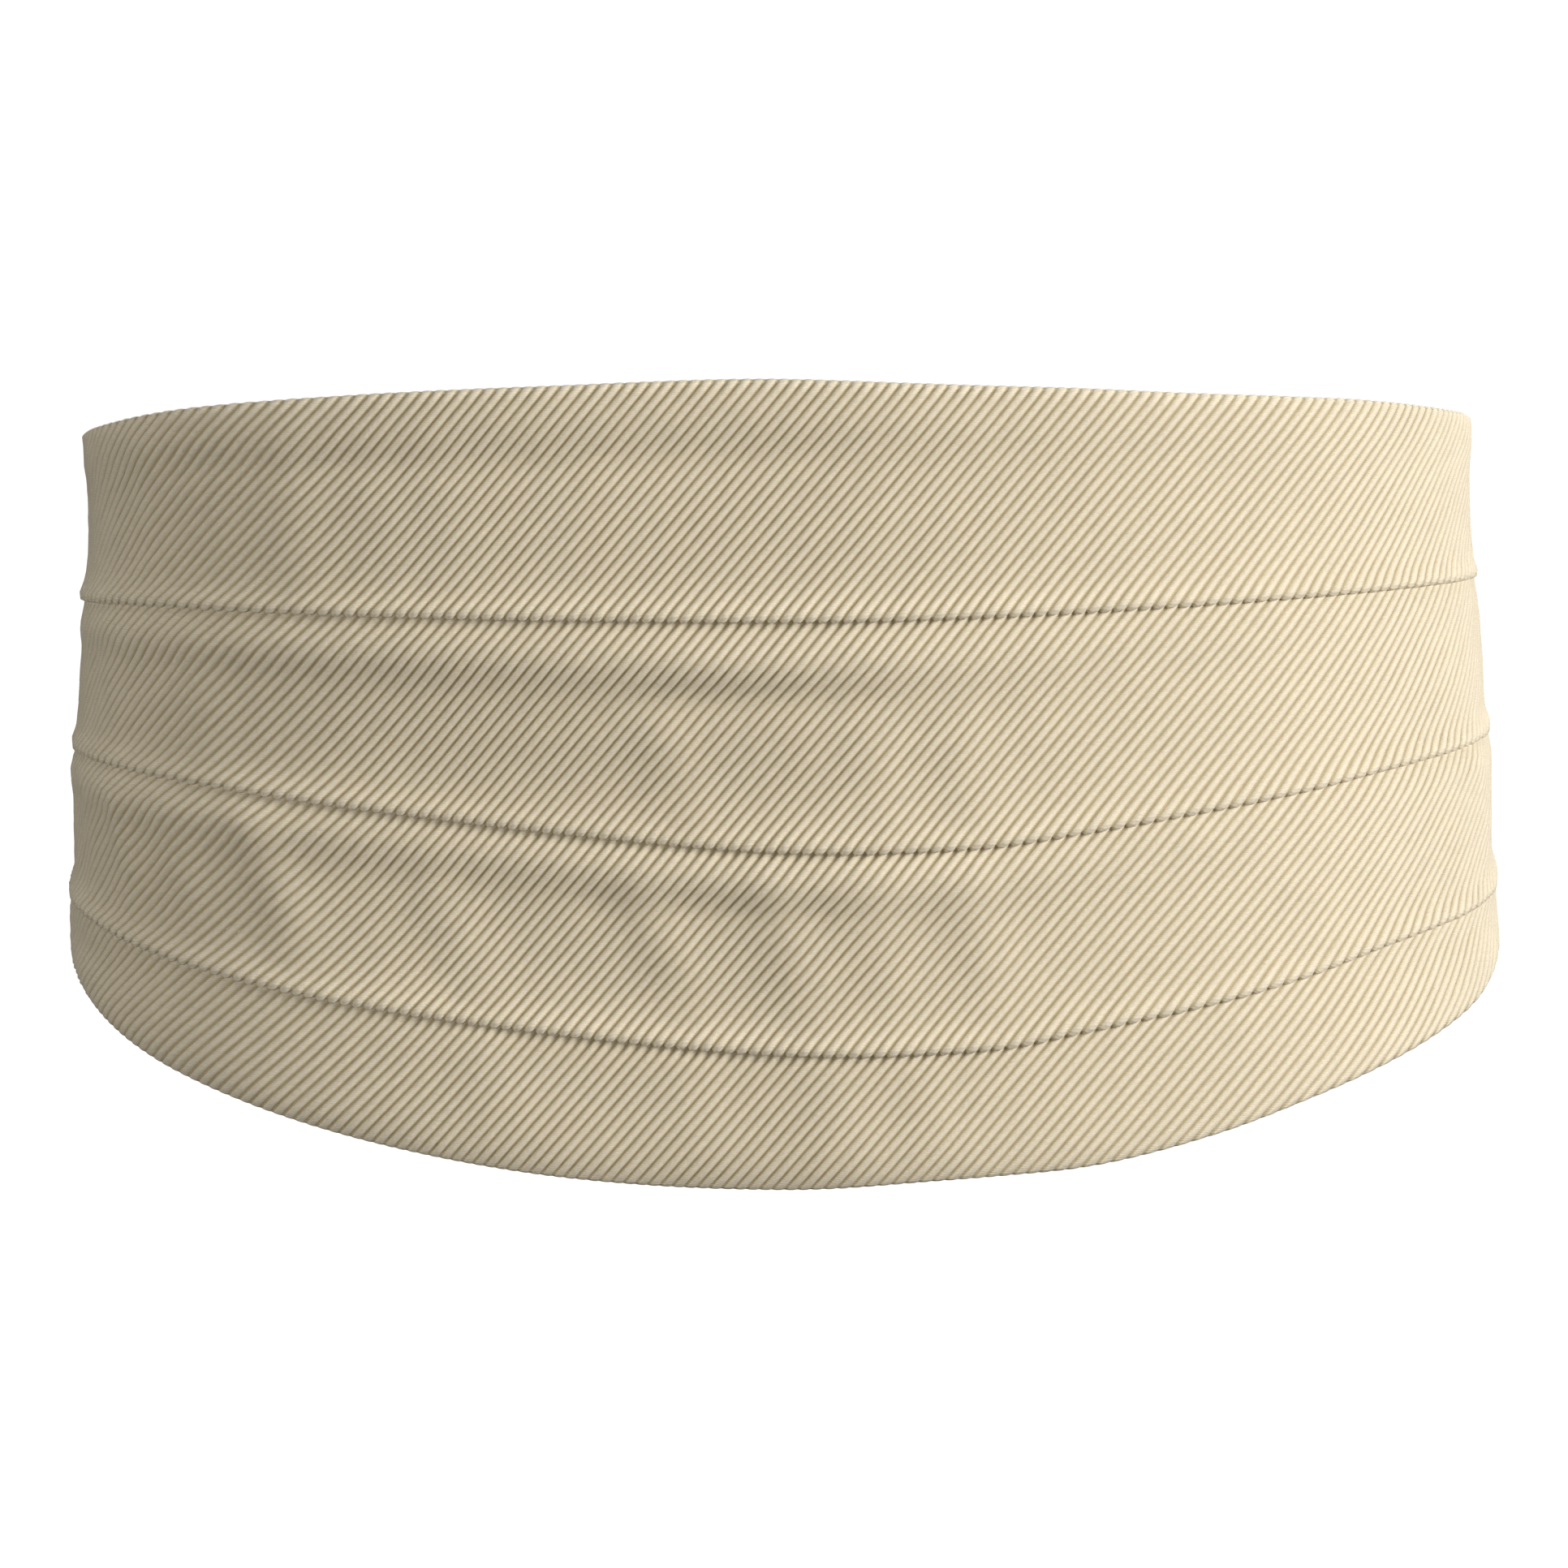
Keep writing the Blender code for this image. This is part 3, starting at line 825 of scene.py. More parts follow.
def store(mesh: bpy.types.Mesh, name: str, kind: str, values: Array) -> None:
    """Stores values on a mesh's points."""
    attribute = mesh.attributes.new(name, kind, "POINT")
    attribute.data.foreach_set("vector" if kind == "FLOAT_VECTOR" else "value", values.ravel())


def read(mesh: bpy.types.Mesh, name: str | None, count: int) -> Array:
    """Reads values from a mesh's points.

    Args:
        mesh: The mesh.
        name: The values' name, or None for the points' places.
        count: How many points the mesh has.

    Returns:
        The values, by point.
    """
    if name is None:
        values = np.zeros(count * 3)
        mesh.vertices.foreach_get("co", values)
        return values.reshape(count, 3)
    attribute = mesh.attributes[name]
    if attribute.data_type == "FLOAT_VECTOR":
        values = np.zeros(count * 3)
        attribute.data.foreach_get("vector", values)
        return values.reshape(count, 3)
    values = np.zeros(count)
    attribute.data.foreach_get("value", values)
    return values.reshape(count, 1)


# How far the form goes from plain to full, by arc in metres.
FORM_STRENGTH = (
    (-0.300, 0.15),
    (-0.190, 0.25),
    (-0.150, 0.60),
    (-0.115, 0.80),
    (-0.080, 0.85),
    (-0.050, 1.00),
    (-0.015, 1.20),
    (0.015, 1.05),
    (0.040, 0.60),
    (0.070, 0.25),
    (0.110, 0.08),
    (0.300, 0.05),
)

TOP_FORM = (
    (0.0, 0.55, 1.10),
    (0.08, 0.55, 1.20),
    (0.15, 0.50, 1.18),
    (0.21, 0.38, 0.85),
    (0.265, 0.22, 0.38),
    (0.33, 0.10, 0.08),
    (0.45, -0.05, -0.10),
    (0.66, -0.10, -0.08),
    (0.78, 0.02, 0.0),
    (0.86, 0.15, 0.22),
    (0.93, 0.30, 0.75),
    (1.0, 0.50, 1.45),
)
UPPER_MIDDLE_FORM = (
    (0.0, 0.10, 0.20),
    (0.07, 0.12, 0.70),
    (0.13, 0.14, 1.50),
    (0.18, 0.14, 1.95),
    (0.225, 0.12, 1.85),
    (0.28, 0.10, 1.15),
    (0.34, 0.06, 0.45),
    (0.42, 0.02, 0.10),
    (0.55, -0.05, -0.05),
    (0.76, 0.0, -0.10),
    (0.84, 0.12, 0.20),
    (0.92, 0.30, 0.80),
    (1.0, 0.50, 1.40),
)
LOWER_MIDDLE_FORM = (
    (0.0, 0.10, 0.20),
    (0.06, 0.12, 0.70),
    (0.11, 0.14, 1.45),
    (0.155, 0.14, 1.85),
    (0.20, 0.12, 1.75),
    (0.255, 0.10, 1.05),
    (0.32, 0.06, 0.40),
    (0.42, 0.0, 0.08),
    (0.60, -0.05, -0.08),
    (0.74, 0.0, -0.10),
    (0.83, 0.08, 0.20),
    (0.92, 0.22, 0.80),
    (1.0, 0.45, 1.40),
)
BOTTOM_FORM = (
    (0.0, 0.10, 0.20),
    (0.12, 0.12, 0.40),
    (0.30, 0.14, 0.55),
    (0.50, 0.20, 0.70),
    (0.70, 0.25, 0.85),
    (0.84, 0.20, 0.75),
    (0.93, 0.05, 0.35),
    (1.0, -0.30, -0.40),
)

PLEATS = (
    PleatForm(
        "pleat_1",
        Line.TOP,
        Line.FOLD_1,
        Edge.HEM,
        Edge.FOLD,
        TOP_FORM,
        (
            Crease(-134, 60, -132, 40, 5.0, 0.45),
            Crease(-95, 59, -92, 40, 6.5, 0.55),
            Crease(-77, 54, -74, 42, 5.0, 0.30),
            Crease(-64, 56, -60, 42, 6.0, 0.40),
            Crease(-122, 58.5, 8, 61.5, 2.8, -0.38),
            Crease(-262, 36, -258, 24, 5.0, 0.35),
            Crease(-221, 44, -214, 29, 6.0, 0.50),
            Crease(-178, 54, -172, 34, 6.0, -0.45),
            Crease(168, 55, 174, 36, 6.0, 0.45),
            Crease(206, 46, 212, 28, 5.5, 0.50),
            Crease(247, 39, 244, 25, 5.0, -0.35),
        ),
        10,
    ),
    PleatForm(
        "pleat_2",
        Line.FOLD_1,
        Line.FOLD_2,
        Edge.FOLD,
        Edge.FOLD,
        UPPER_MIDDLE_FORM,
        (
            Crease(-118, 20, -114, 6, 5.5, 0.50),
            Crease(-22, 8, -17, -4, 4.5, 0.85),
            Crease(17, 8, 19, -4, 5.0, 0.60),
            Crease(33, 7, 36, -4, 5.0, 0.60),
            Crease(-16, 21.8, 4, 21.8, 2.6, 0.45),
            Crease(-24, 16.6, 16, 16.8, 3.0, -0.65),
            Crease(-240, 16, -233, 5, 5.0, 0.40),
            Crease(-196, 18, -188, 4, 5.5, 0.45),
            Crease(-158, 17, -160, 5, 5.0, -0.40),
            Crease(182, 17, 189, 4, 5.5, 0.50),
            Crease(226, 15, 229, 4, 5.0, -0.35),
        ),
        10,
    ),
    PleatForm(
        "pleat_3",
        Line.FOLD_2,
        Line.FOLD_3,
        Edge.FOLD,
        Edge.FOLD,
        LOWER_MIDDLE_FORM,
        (
            Crease(-141, -10, -137, -24, 4.5, 0.80),
            Crease(-124, -11, -119, -25, 4.5, 0.65),
            Crease(-103, -12, -94, -29, 4.5, 1.15),
            Crease(-66, -22, -57, -36, 4.5, 0.85),
            Crease(-26, -22, -18, -37, 4.5, 1.15),
            Crease(-2, -21, 4, -38, 4.5, 1.05),
            Crease(17, -25, 20, -39, 4.0, 0.45),
            Crease(34, -21, 39, -38, 4.5, 0.80),
            Crease(-34, -22.5, 6, -23.5, 3.0, -0.45),
            Crease(-252, -6, -246, -14, 4.5, 0.35),
            Crease(-207, -8, -199, -21, 5.0, 0.50),
            Crease(-168, -10, -163, -24, 5.5, -0.45),
            Crease(160, -9, 167, -25, 5.0, 0.50),
            Crease(201, -8, 208, -20, 5.0, -0.40),
            Crease(243, -6, 248, -14, 4.5, 0.35),
        ),
        9,
    ),
    PleatForm(
        "pleat_4",
        Line.FOLD_3,
        Line.BOTTOM,
        Edge.FOLD,
        Edge.HEM,
        BOTTOM_FORM,
        (
            Crease(-57, -49, -53, -59, 5.0, 0.40),
            Crease(-20, -54, -16, -64, 7.0, 0.45),
            Crease(8, -56, 11, -66, 6.0, 0.35),
            Crease(24, -54, 28, -66, 5.0, 0.35),
            Crease(-182, -36, -176, -41, 5.0, 0.40),
            Crease(-228, -28, -221, -33, 5.0, 0.35),
            Crease(191, -35, 186, -41, 5.0, 0.40),
            Crease(236, -27, 242, -32, 4.5, -0.30),
        ),
        7,
    ),
)


@dataclass
class PleatedFront:
    """The pleated front: four pleats of one cloth, so that a rib goes on from each to the next."""

    waist: WaistForm
    weave: RibWeave
    flat_arcs: int = 241

    def cloths(self) -> list[PleatCloth]:
        """Plans the four pleats, each with the shift that carries the ribs on from the one above.

        Returns:
            The pleats from the top one down.
        """
        made: list[PleatCloth] = []
        shift = 0.0
        for plan in PLEATS:
            cloth = PleatCloth(plan, self.waist, self.weave, shift)
            if made:
                start = cloth.cloth_height_at_centre(cloth.rows()[0])
                end = made[-1].cloth_height_at_centre(made[-1].rows()[-1])
                cloth.shift += self.weave.run * (start - end)
            shift = cloth.shift
            made.append(cloth)
        return made

    def build(self, finish: bpy.types.Material) -> None:
        """Models and dresses the pleats, and logs each one's triangles, height at the centre and area.

        Args:
            finish: The cloth's material.
        """
        above = "strap_left"
        for cloth in self.cloths():
            piece = cloth.build()
            piece.data.materials.append(finish)
            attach(piece, "root")
            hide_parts("pleated_front")
            report(piece)
            arcs = np.linspace(-FRONT_END, FRONT_END, self.flat_arcs)
            rows = cloth.rows()
            tall = cloth.row(rows[0], arcs).cloth_height - cloth.row(rows[-1], arcs).cloth_height
            area = float(np.mean(tall)) * 2 * FRONT_END
            centre = float(tall[len(tall) // 2])
            log.info("%s: %.1f mm tall at the centre, %.4f m2", piece.name, centre / MM, area)
            above = piece.name


Stitch = tuple[Vector, Vector, Vector]  # its middle, its direction and the direction out of the cloth


@dataclass
class Stitching:
    """Stitches copied along seams and joined into one piece."""

    length: float = 2.1 * MM
    gap: float = 0.7 * MM
    thread: float = 0.34 * MM
    dip: float = 0.16 * MM
    flatness: float = 0.8
    facets: int = 6

    def first_stitch(self) -> bpy.types.Object:
        """Models one stitch, long in X and standing out in Z, with its ends drawn into the cloth.

        Returns:
            The stitch.
        """
        bpy.ops.object.select_all(action="DESELECT")
        bpy.ops.mesh.primitive_uv_sphere_add(segments=self.facets, ring_count=self.facets, radius=0.5)
        stitch = bpy.context.object
        bpy.ops.object.mode_set(mode="EDIT")
        bpy.ops.transform.rotate(value=math.pi / 2, orient_axis="Y", center_override=(0.0, 0.0, 0.0))
        bpy.ops.transform.resize(value=(self.length, self.thread, self.thread * self.flatness))
        bpy.ops.object.mode_set(mode="OBJECT")
        for vertex in stitch.data.vertices:
            vertex.co.z -= self.dip * (2 * vertex.co.x / self.length) ** 2
        bpy.ops.object.shade_smooth()
        return stitch

    def build(self, name: str, places: list[Stitch]) -> bpy.types.Object:
        """Copies the stitch to each place and joins the copies.

        Args:
            name: The piece's name.
            places: Each stitch's middle, its direction and the direction out of the cloth.

        Returns:
            The piece.
        """
        first = self.first_stitch()
        copies = []
        for middle, along, outward in places:
            copy = first.copy()
            copy.data = first.data.copy()
            bpy.context.scene.collection.objects.link(copy)
            across = outward.cross(along).normalized()
            turned = Matrix((along.normalized(), across, outward.normalized())).transposed().to_4x4()
            copy.data.transform(Matrix.Translation(middle) @ turned)
            copies.append(copy)
        bpy.data.objects.remove(first)
        bpy.ops.object.select_all(action="DESELECT")
        for copy in copies:
            copy.select_set(True)
        bpy.context.view_layer.objects.active = copies[0]
        bpy.ops.object.join()
        piece = bpy.context.object
        piece.name = piece.data.name = name
        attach(piece, "root")
        return piece


class StrapPlace(NamedTuple):
    """A point that the middle of a strap goes through: its arc and its offset, in mm."""

    arc: float
    offset: float


class Side(Enum):
    """The wearer's side that a strap is on."""

    LEFT = 1
    RIGHT = -1


@dataclass
class BackStrap:
    """A back strap: lapped on the front's end, narrowing, and turned round the clasp's bar.

    The turn's inset is how far the bar's middle lies from the centre back.
    """

    side: Side
    waist: WaistForm
    weave: RibWeave
    half_height: float = 0.019
    middle_height: float = 0.003
    lap: float = 0.010
    taper: float = 0.038
    overhang: float = 0.001
    turn_inset: float = 0.01575
    turn_offset: float = 2.05
    turn_radius: float = 1.3
    row_step: float = 0.9 * MM
    edge_rows: tuple[float, ...] = (0.0, 0.12 * MM, 0.40 * MM)
    edge_round: float = 0.55 * MM
    edge_thinnest: float = 0.12
    edge_margin: float = 0.9 * MM
    cloth_reach: tuple[float, float] = (-0.030, 0.036)
    right_side_step: float = 1.0 * MM
    path_step: float = 0.1 * MM
    stitch_seat: float = 0.55
    lap_seams: tuple[float, float] = (2.4 * MM, 8.4 * MM)
    seam_margin: float = 2.6 * MM
    turned_seam: float = 14.0 * MM
    edge_seam_from: float = 10.5 * MM
    edge_seam_end: float = 5.0 * MM
    edge_seam_inset: float = 2.2 * MM
    pulls_end: float = 0.06
    pulls: tuple[Crease, ...] = (
        Crease(331, 16, 345, 9, 4.0, 0.28),
        Crease(330, -9, 343, -4, 4.0, 0.24),
        Crease(316, 10, 326, 8, 4.5, -0.20),
    )
    stitches: Stitching = field(default_factory=Stitching)

    @property
    def name(self) -> str:
        """The strap's CAD node."""
        return f"back_strap_{self.side.name.lower()}"

    def places(self) -> Array:
        """Lays out the strap's middle: over the front's end, along the waist and round the bar.

        Returns:
            The arcs and offsets that it goes through, in metres.
        """
        bar = (self.waist.half_girth - self.turn_inset) / MM
        root = [(290, 3.15), (295, 3.15), (300.3, 3.1), (303.5, 2.6), (307.5, 1.6)]
        run = [(311.5, 0.85), (317, 0.52), (324, 0.5), (336, 0.5), (bar - 25, 0.5)]
        lifted = [(bar - 22, 0.75), (bar - 19, 1.35), (bar - 16, 1.5)]
        over = [(bar - 9.5, 1.5), (bar - 6.5, 2.0), (bar - 3.6, 3.1), (bar - 2.0, 3.35)]
        middle, radius = self.turn_offset, self.turn_radius
        turn = [
            (bar + radius * math.sin(angle), middle + radius * math.cos(angle))
            for angle in (math.pi * step / 6 for step in range(7))
        ]
        back = [(bar - 2.5, 0.70), (bar - 6, 0.5), (bar - 12, 0.5), (bar - 18, 0.5)]
        middle_line = (*root, *run, *lifted, *over, *turn, *back)
        return np.array([StrapPlace(*place) for place in middle_line]) * MM

    def path(self, distance: Array) -> tuple[Array, Array]:
        """Reads the strap's middle.

        Args:
            distance: Distances along it.

        Returns:
            The arcs and the offsets there.
        """
        places = self.places()
        walked = np.concatenate(([0.0], np.cumsum(np.hypot(*np.diff(places, axis=0).T))))
        return curve_through(walked, places[:, 0], distance), curve_through(walked, places[:, 1], distance)

    @property
    def length(self) -> float:
        """Length of the strap's middle, from its root edge to its cut end."""
        return float(np.hypot(*np.diff(self.places(), axis=0).T).sum())

    def edges(self, arc: Array) -> tuple[Array, Array]:
        """Reads the strap's edges.

        Args:
            arc: Arcs from the centre front, without a sign.

        Returns:
            The heights of its top edge and of its bottom edge.
        """
        ends = [float(line_height(line, np.array(FRONT_END))) for line in (Line.TOP, Line.BOTTOM)]
        eased = smooth((arc - FRONT_END) / self.taper)
        root_top, root_bottom = ends[0] + self.overhang, ends[1] - self.overhang
        top = root_top + (self.middle_height + self.half_height - root_top) * eased
        bottom = root_bottom + (self.middle_height - self.half_height - root_bottom) * eased
        return top, bottom

    def point(self, distance: Array, height: Array, out: float = 0.0) -> Array:
        """Points of the strap.

        Args:
            distance: Distances along its middle.
            height: Heights in the frame.
            out: How far they stand out from the middle of the cloth, on its right side.

        Returns:
            The points.
        """
        arc, offset = self.path(distance)
        before, after = self.path(distance - self.path_step), self.path(distance + self.path_step)
        along, rise = after[0] - before[0], after[1] - before[1]
        length = np.hypot(along, rise) + 1e-12
        lifted = sum(crease.relief(arc, height) for crease in self.pulls)
        offset = offset + lifted * (distance < self.pulls_end)
        arc = arc - out * rise / length
        return self.waist.place(self.side.value * arc, offset + out * along / length, height)

    def row_height(self, row: tuple[float, float], distance: Array) -> Array:
        """Heights of one row of the strap's grid.

        Args:
            row: Share of the height from the top edge, and a distance down from that, in metres.
            distance: Distances along the strap.

        Returns:
            The row's heights.
        """
        top, bottom = self.edges(self.path(distance)[0])
        inner_top, inner_bottom = top - self.edge_margin, bottom + self.edge_margin
        share, down = row
        if share < 0:
            return top - down
        if share > 1:
            return bottom + down
        return inner_top + (inner_bottom - inner_top) * share

    def rows(self) -> list[tuple[float, float]]:
        """Lists the grid's rows, close together at both edges.

        Returns:
            The rows from the top edge down, as `row_height` takes them.
        """
        count = math.ceil(2 * self.half_height / self.row_step)
        middle = [(step / count, 0.0) for step in range(count + 1)]
        upper = [(-1.0, down) for down in self.edge_rows]
        return [*upper, *middle, *[(2.0, down) for down in reversed(self.edge_rows)]]

    def build_cloth(self) -> bpy.types.Object:
        """Models the strap's cloth, with its ribs on both sides.

        Returns:
            The strap's object.
        """
        side, run, length = self.side.value, self.weave.run, self.length
        start = side * float(self.weave.pattern_at(np.array(FRONT_END - self.lap)))
        scale = 1.0 + self.weave.widening
        ends = sorted((start, start + side * length / scale))
        low, high = (reach * run for reach in self.cloth_reach)
        lines, ribs = self.weave.lines(ends[0] - high, ends[1] - low)
        rows = self.rows()
        shape = (len(rows), len(lines))
        middle, outward = np.zeros((*shape, 3)), np.zeros((*shape, 3))
        rib, thick, cloth = np.zeros(shape), np.zeros(shape), np.zeros((*shape, 2))
        for number, row in enumerate(rows):
            distance = np.zeros(len(lines))
            for _ in range(self.weave.settling):
                height = self.row_height(row, distance)
                factor, moved = self.weave.unevenness(ribs, height)
                distance = np.clip(side * (lines + run * height + moved - start) * scale, 0.0, length)
            height = self.row_height(row, distance)
            middle[number] = self.point(distance, height)
            outward[number] = self.point(distance, height, self.right_side_step) - middle[number]
            outward[number] /= np.linalg.norm(outward[number], axis=1, keepdims=True)
            top, bottom = self.edges(self.path(distance)[0])
            inside = np.minimum(top - height, height - bottom)
            inside = np.minimum(inside, np.minimum(distance, length - distance))
            share = 1.0 - np.clip(inside / self.edge_round, 0.0, 1.0)
            thick[number] = np.maximum(self.edge_thinnest, np.sqrt(1.0 - share * share))
            rib[number] = self.weave.profile(lines / self.weave.pitch) * factor * thick[number]
            cloth[number, :, 0] = start + side * distance / scale
            cloth[number, :, 1] = height
        name = f"strap_{self.side.name.lower()}"
        return cloth_object(name, middle, outward, rib, cloth, self.weave, thick)

    def seam(self, starts: tuple[float, float], ends: tuple[float, float], out: float) -> list[Stitch]:
        """Places of the stitches of a straight seam.

        Args:
            starts: Distance along the strap and height where the seam starts.
            ends: The same where it ends.
            out: How far out from the middle of the cloth the stitches lie.

        Returns:
            Each stitch's middle, direction and outward direction.
        """
        span = math.hypot(ends[0] - starts[0], ends[1] - starts[1])
        pitch = self.stitches.length + self.stitches.gap
        count = max(1, round(span / pitch))
        distances = np.linspace(starts[0], ends[0], 2 * count + 1)
        heights = np.linspace(starts[1], ends[1], 2 * count + 1)
        middle = self.point(distances, heights, out)
        raised = self.point(distances, heights, out + self.right_side_step)
        return [
            (
                Vector(middle[at]),
                Vector(middle[at + 1] - middle[at - 1]),
                Vector(raised[at] - middle[at]).normalized(),
            )
            for at in range(1, 2 * count, 2)
        ]

    def build_stitches(self) -> bpy.types.Object:
        """Models the lap's two seams, the seam that holds the turned end, and the edges' stitching.

        Returns:
            The stitches, joined into one piece.
        """
        out = self.weave.wall / 2 + self.stitch_seat * self.weave.height
        margin = self.seam_margin
        places = []
        for distance in self.lap_seams:
            top, bottom = (float(edge) for edge in self.edges(self.path(np.array(distance))[0]))
            places += self.seam((distance, top - margin), (distance, bottom + margin), out)
        bar = self.waist.half_girth - self.turn_inset
        walked = np.linspace(0.0, self.length, 600)
        arcs = self.path(walked)[0]
        turned_at = float(walked[np.argmax(arcs > bar - self.turned_seam)])
        top, bottom = self.middle_height + self.half_height, self.middle_height - self.half_height
        places += self.seam((turned_at, top - margin), (turned_at, bottom + margin), out)
        last = float(walked[np.argmax(arcs > bar - self.edge_seam_end)])
        steps = np.arange(self.edge_seam_from, last, self.stitches.length + self.stitches.gap)
        for at, inset in enumerate((-self.edge_seam_inset, self.edge_seam_inset)):
            for first, then in zip(steps, steps[1:]):
                heights = [float(self.edges(self.path(np.array(d))[0])[at]) for d in (first, then)]
                places += self.seam((first, heights[0] + inset), (then, heights[1] + inset), out)
        return self.stitches.build(f"strap_stitches_{self.side.name.lower()}", places)

    def build(self, cloth: bpy.types.Material, thread: bpy.types.Material) -> None:
        """Models and dresses the strap and its stitches, and logs their triangles.

        Args:
            cloth: The strap's material.
            thread: The stitches' material.
        """
        strap, stitches = self.build_cloth(), self.build_stitches()
        strap.data.materials.append(cloth)
        stitches.data.materials.append(thread)
        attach(strap, "root")
        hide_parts(self.name)
        for piece in (strap, stitches):
            report(piece)
        distances = np.linspace(0.0, self.length, 200)
        top, bottom = self.edges(self.path(distances)[0])
        area = float(np.mean(top - bottom)) * self.length
        width = float(np.max(top - bottom))
        self.length


@dataclass
class Clasp:
    """The hook and the eye: each CAD plate with its edges rounded as stamped metal's are."""

    edge: float = 0.22 * MM
    segments: int = 2
    sharp: float = math.radians(35.0)
    merged_within: float = 1e-5
    flat_within: float = math.radians(2.0)

    def build_plate(self, node: str, metal: bpy.types.Material) -> None:
        """Models and dresses one plate from its CAD node.

        Args:
            node: The node.
            metal: The plate's material.
        """
        piece = bpy.data.objects.new(f"{node}_plate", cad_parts[node].data.copy())
        bpy.context.scene.collection.objects.link(piece)
        bpy.ops.object.select_all(action="DESELECT")
        piece.select_set(True)
        bpy.context.view_layer.objects.active = piece
        piece.data.materials.clear()
        piece.data.materials.append(metal)
        bpy.ops.object.mode_set(mode="EDIT")
        bpy.ops.mesh.select_all(action="SELECT")
        bpy.ops.mesh.remove_doubles(threshold=self.merged_within)
        bpy.ops.mesh.dissolve_limited(angle_limit=self.flat_within)
        bpy.ops.mesh.normals_make_consistent(inside=False)
        bpy.ops.object.mode_set(mode="OBJECT")
        rounding = piece.modifiers.new("Rounding", "BEVEL")
        rounding.width = self.edge
        rounding.segments = self.segments
        rounding.limit_method = "ANGLE"
        rounding.angle_limit = self.sharp
        bpy.ops.object.modifier_apply(modifier=rounding.name)
        bpy.ops.object.shade_smooth_by_angle(angle=self.sharp)
        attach(piece, "root")
        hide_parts(node)
        report(piece)

    def build(self, metal: bpy.types.Material) -> None:
        """Models both plates, one from each CAD node."""
        for node in ("clasp_hook", "clasp_eye"):
            self.build_plate(node, metal)


def report(piece: bpy.types.Object) -> None:
    """Logs a piece's name and its number of triangles."""
    triangles = sum(len(face.vertices) - 2 for face in piece.data.polygons)
    log.info("%s: %d triangles", piece.name, triangles)


class Signal:
    """An output of a material's node, with arithmetic that adds nodes."""

    def __init__(self, graph: "Graph", socket: bpy.types.NodeSocket) -> None:
        """Wraps a socket of a graph."""
        self.graph = graph
        self.socket = socket

    def calculate(self, operation: str, *values: "Signal | float") -> "Signal":
        """Adds a Math node on some values."""
        return self.graph.node("ShaderNodeMath", {"operation": operation}, dict(enumerate(values)))

    def __add__(self, other: "Signal | float") -> "Signal":
        """Sum."""
        return self.calculate("ADD", self, other)

    def __radd__(self, other: float) -> "Signal":
        """Sum with a number first."""
        return self.calculate("ADD", other, self)

    def __sub__(self, other: "Signal | float") -> "Signal":
        """Difference."""
        return self.calculate("SUBTRACT", self, other)

    def __rsub__(self, other: float) -> "Signal":
        """Difference from a number."""
        return self.calculate("SUBTRACT", other, self)

    def __mul__(self, other: "Signal | float") -> "Signal":
        """Product."""
        return self.calculate("MULTIPLY", self, other)

    def __truediv__(self, other: "Signal | float") -> "Signal":
        """Quotient."""
        return self.calculate("DIVIDE", self, other)

    def sine(self) -> "Signal":
        """Sine of an angle in radians."""
        return self.calculate("SINE", self)

    def size(self) -> "Signal":
        """Value without its sign."""
        return self.calculate("ABSOLUTE", self)

    def eased(self, low: float, high: float) -> "Signal":
        """Smooth step from 0 at low to 1 at high."""
        inputs = {"Value": self, "From Min": low, "From Max": high}
        return self.graph.node("ShaderNodeMapRange", {"interpolation_type": "SMOOTHSTEP"}, inputs)


class Graph:
    """A material's node tree, in which each node comes from one call."""

    def __init__(self, name: str) -> None:
        """Starts a material with nothing but its output.

        Args:
            name: The material's name.
        """
        self.material = bpy.data.materials.new(name)
        self.material.use_nodes = True
        self.tree = self.material.node_tree
        self.tree.nodes.clear()
        self.end = self.tree.nodes.new("ShaderNodeOutputMaterial")

    def node(
        self,
        kind: str,
        settings: dict[str, object] | None = None,
        inputs: dict[str | int, object] | None = None,
        output: str | int = 0,
    ) -> Signal:
        """Adds a node.

        Args:
            kind: Blender's name of the node's type.
            settings: The node's own settings, set before its sockets.
            inputs: A value or a signal for each socket named or numbered.
            output: The output to hand back.

        Returns:
            The signal at that output.
        """
        made = self.tree.nodes.new(kind)
        for key, value in (settings or {}).items():
            setattr(made, key, value)
        for key, value in (inputs or {}).items():
            if isinstance(value, Signal):
                self.tree.links.new(value.socket, made.inputs[key])
            else:
                made.inputs[key].default_value = value
        return Signal(self, made.outputs[output])

    def blend(self, share: "Signal | float", first: object, second: object, how: str = "MIX") -> Signal:
        """Mixes two colours.

        Args:
            share: How much of the second there is.
            first: A colour or a signal.
            second: A colour or a signal.
            how: Blender's name of the way they mix.

        Returns:
            The mixed colour.
        """
        settings = {"data_type": "RGBA", "blend_type": how}
        values = {
            0: share,
            6: (*first, 1.0) if isinstance(first, tuple) else first,
            7: (*second, 1.0) if isinstance(second, tuple) else second,
        }
        return self.node("ShaderNodeMix", settings, values, 2)

    def finish(self, shader: Signal) -> bpy.types.Material:
        """Connects the shader and hands back the material."""
        self.tree.links.new(shader.socket, self.end.inputs["Surface"])
        return self.material


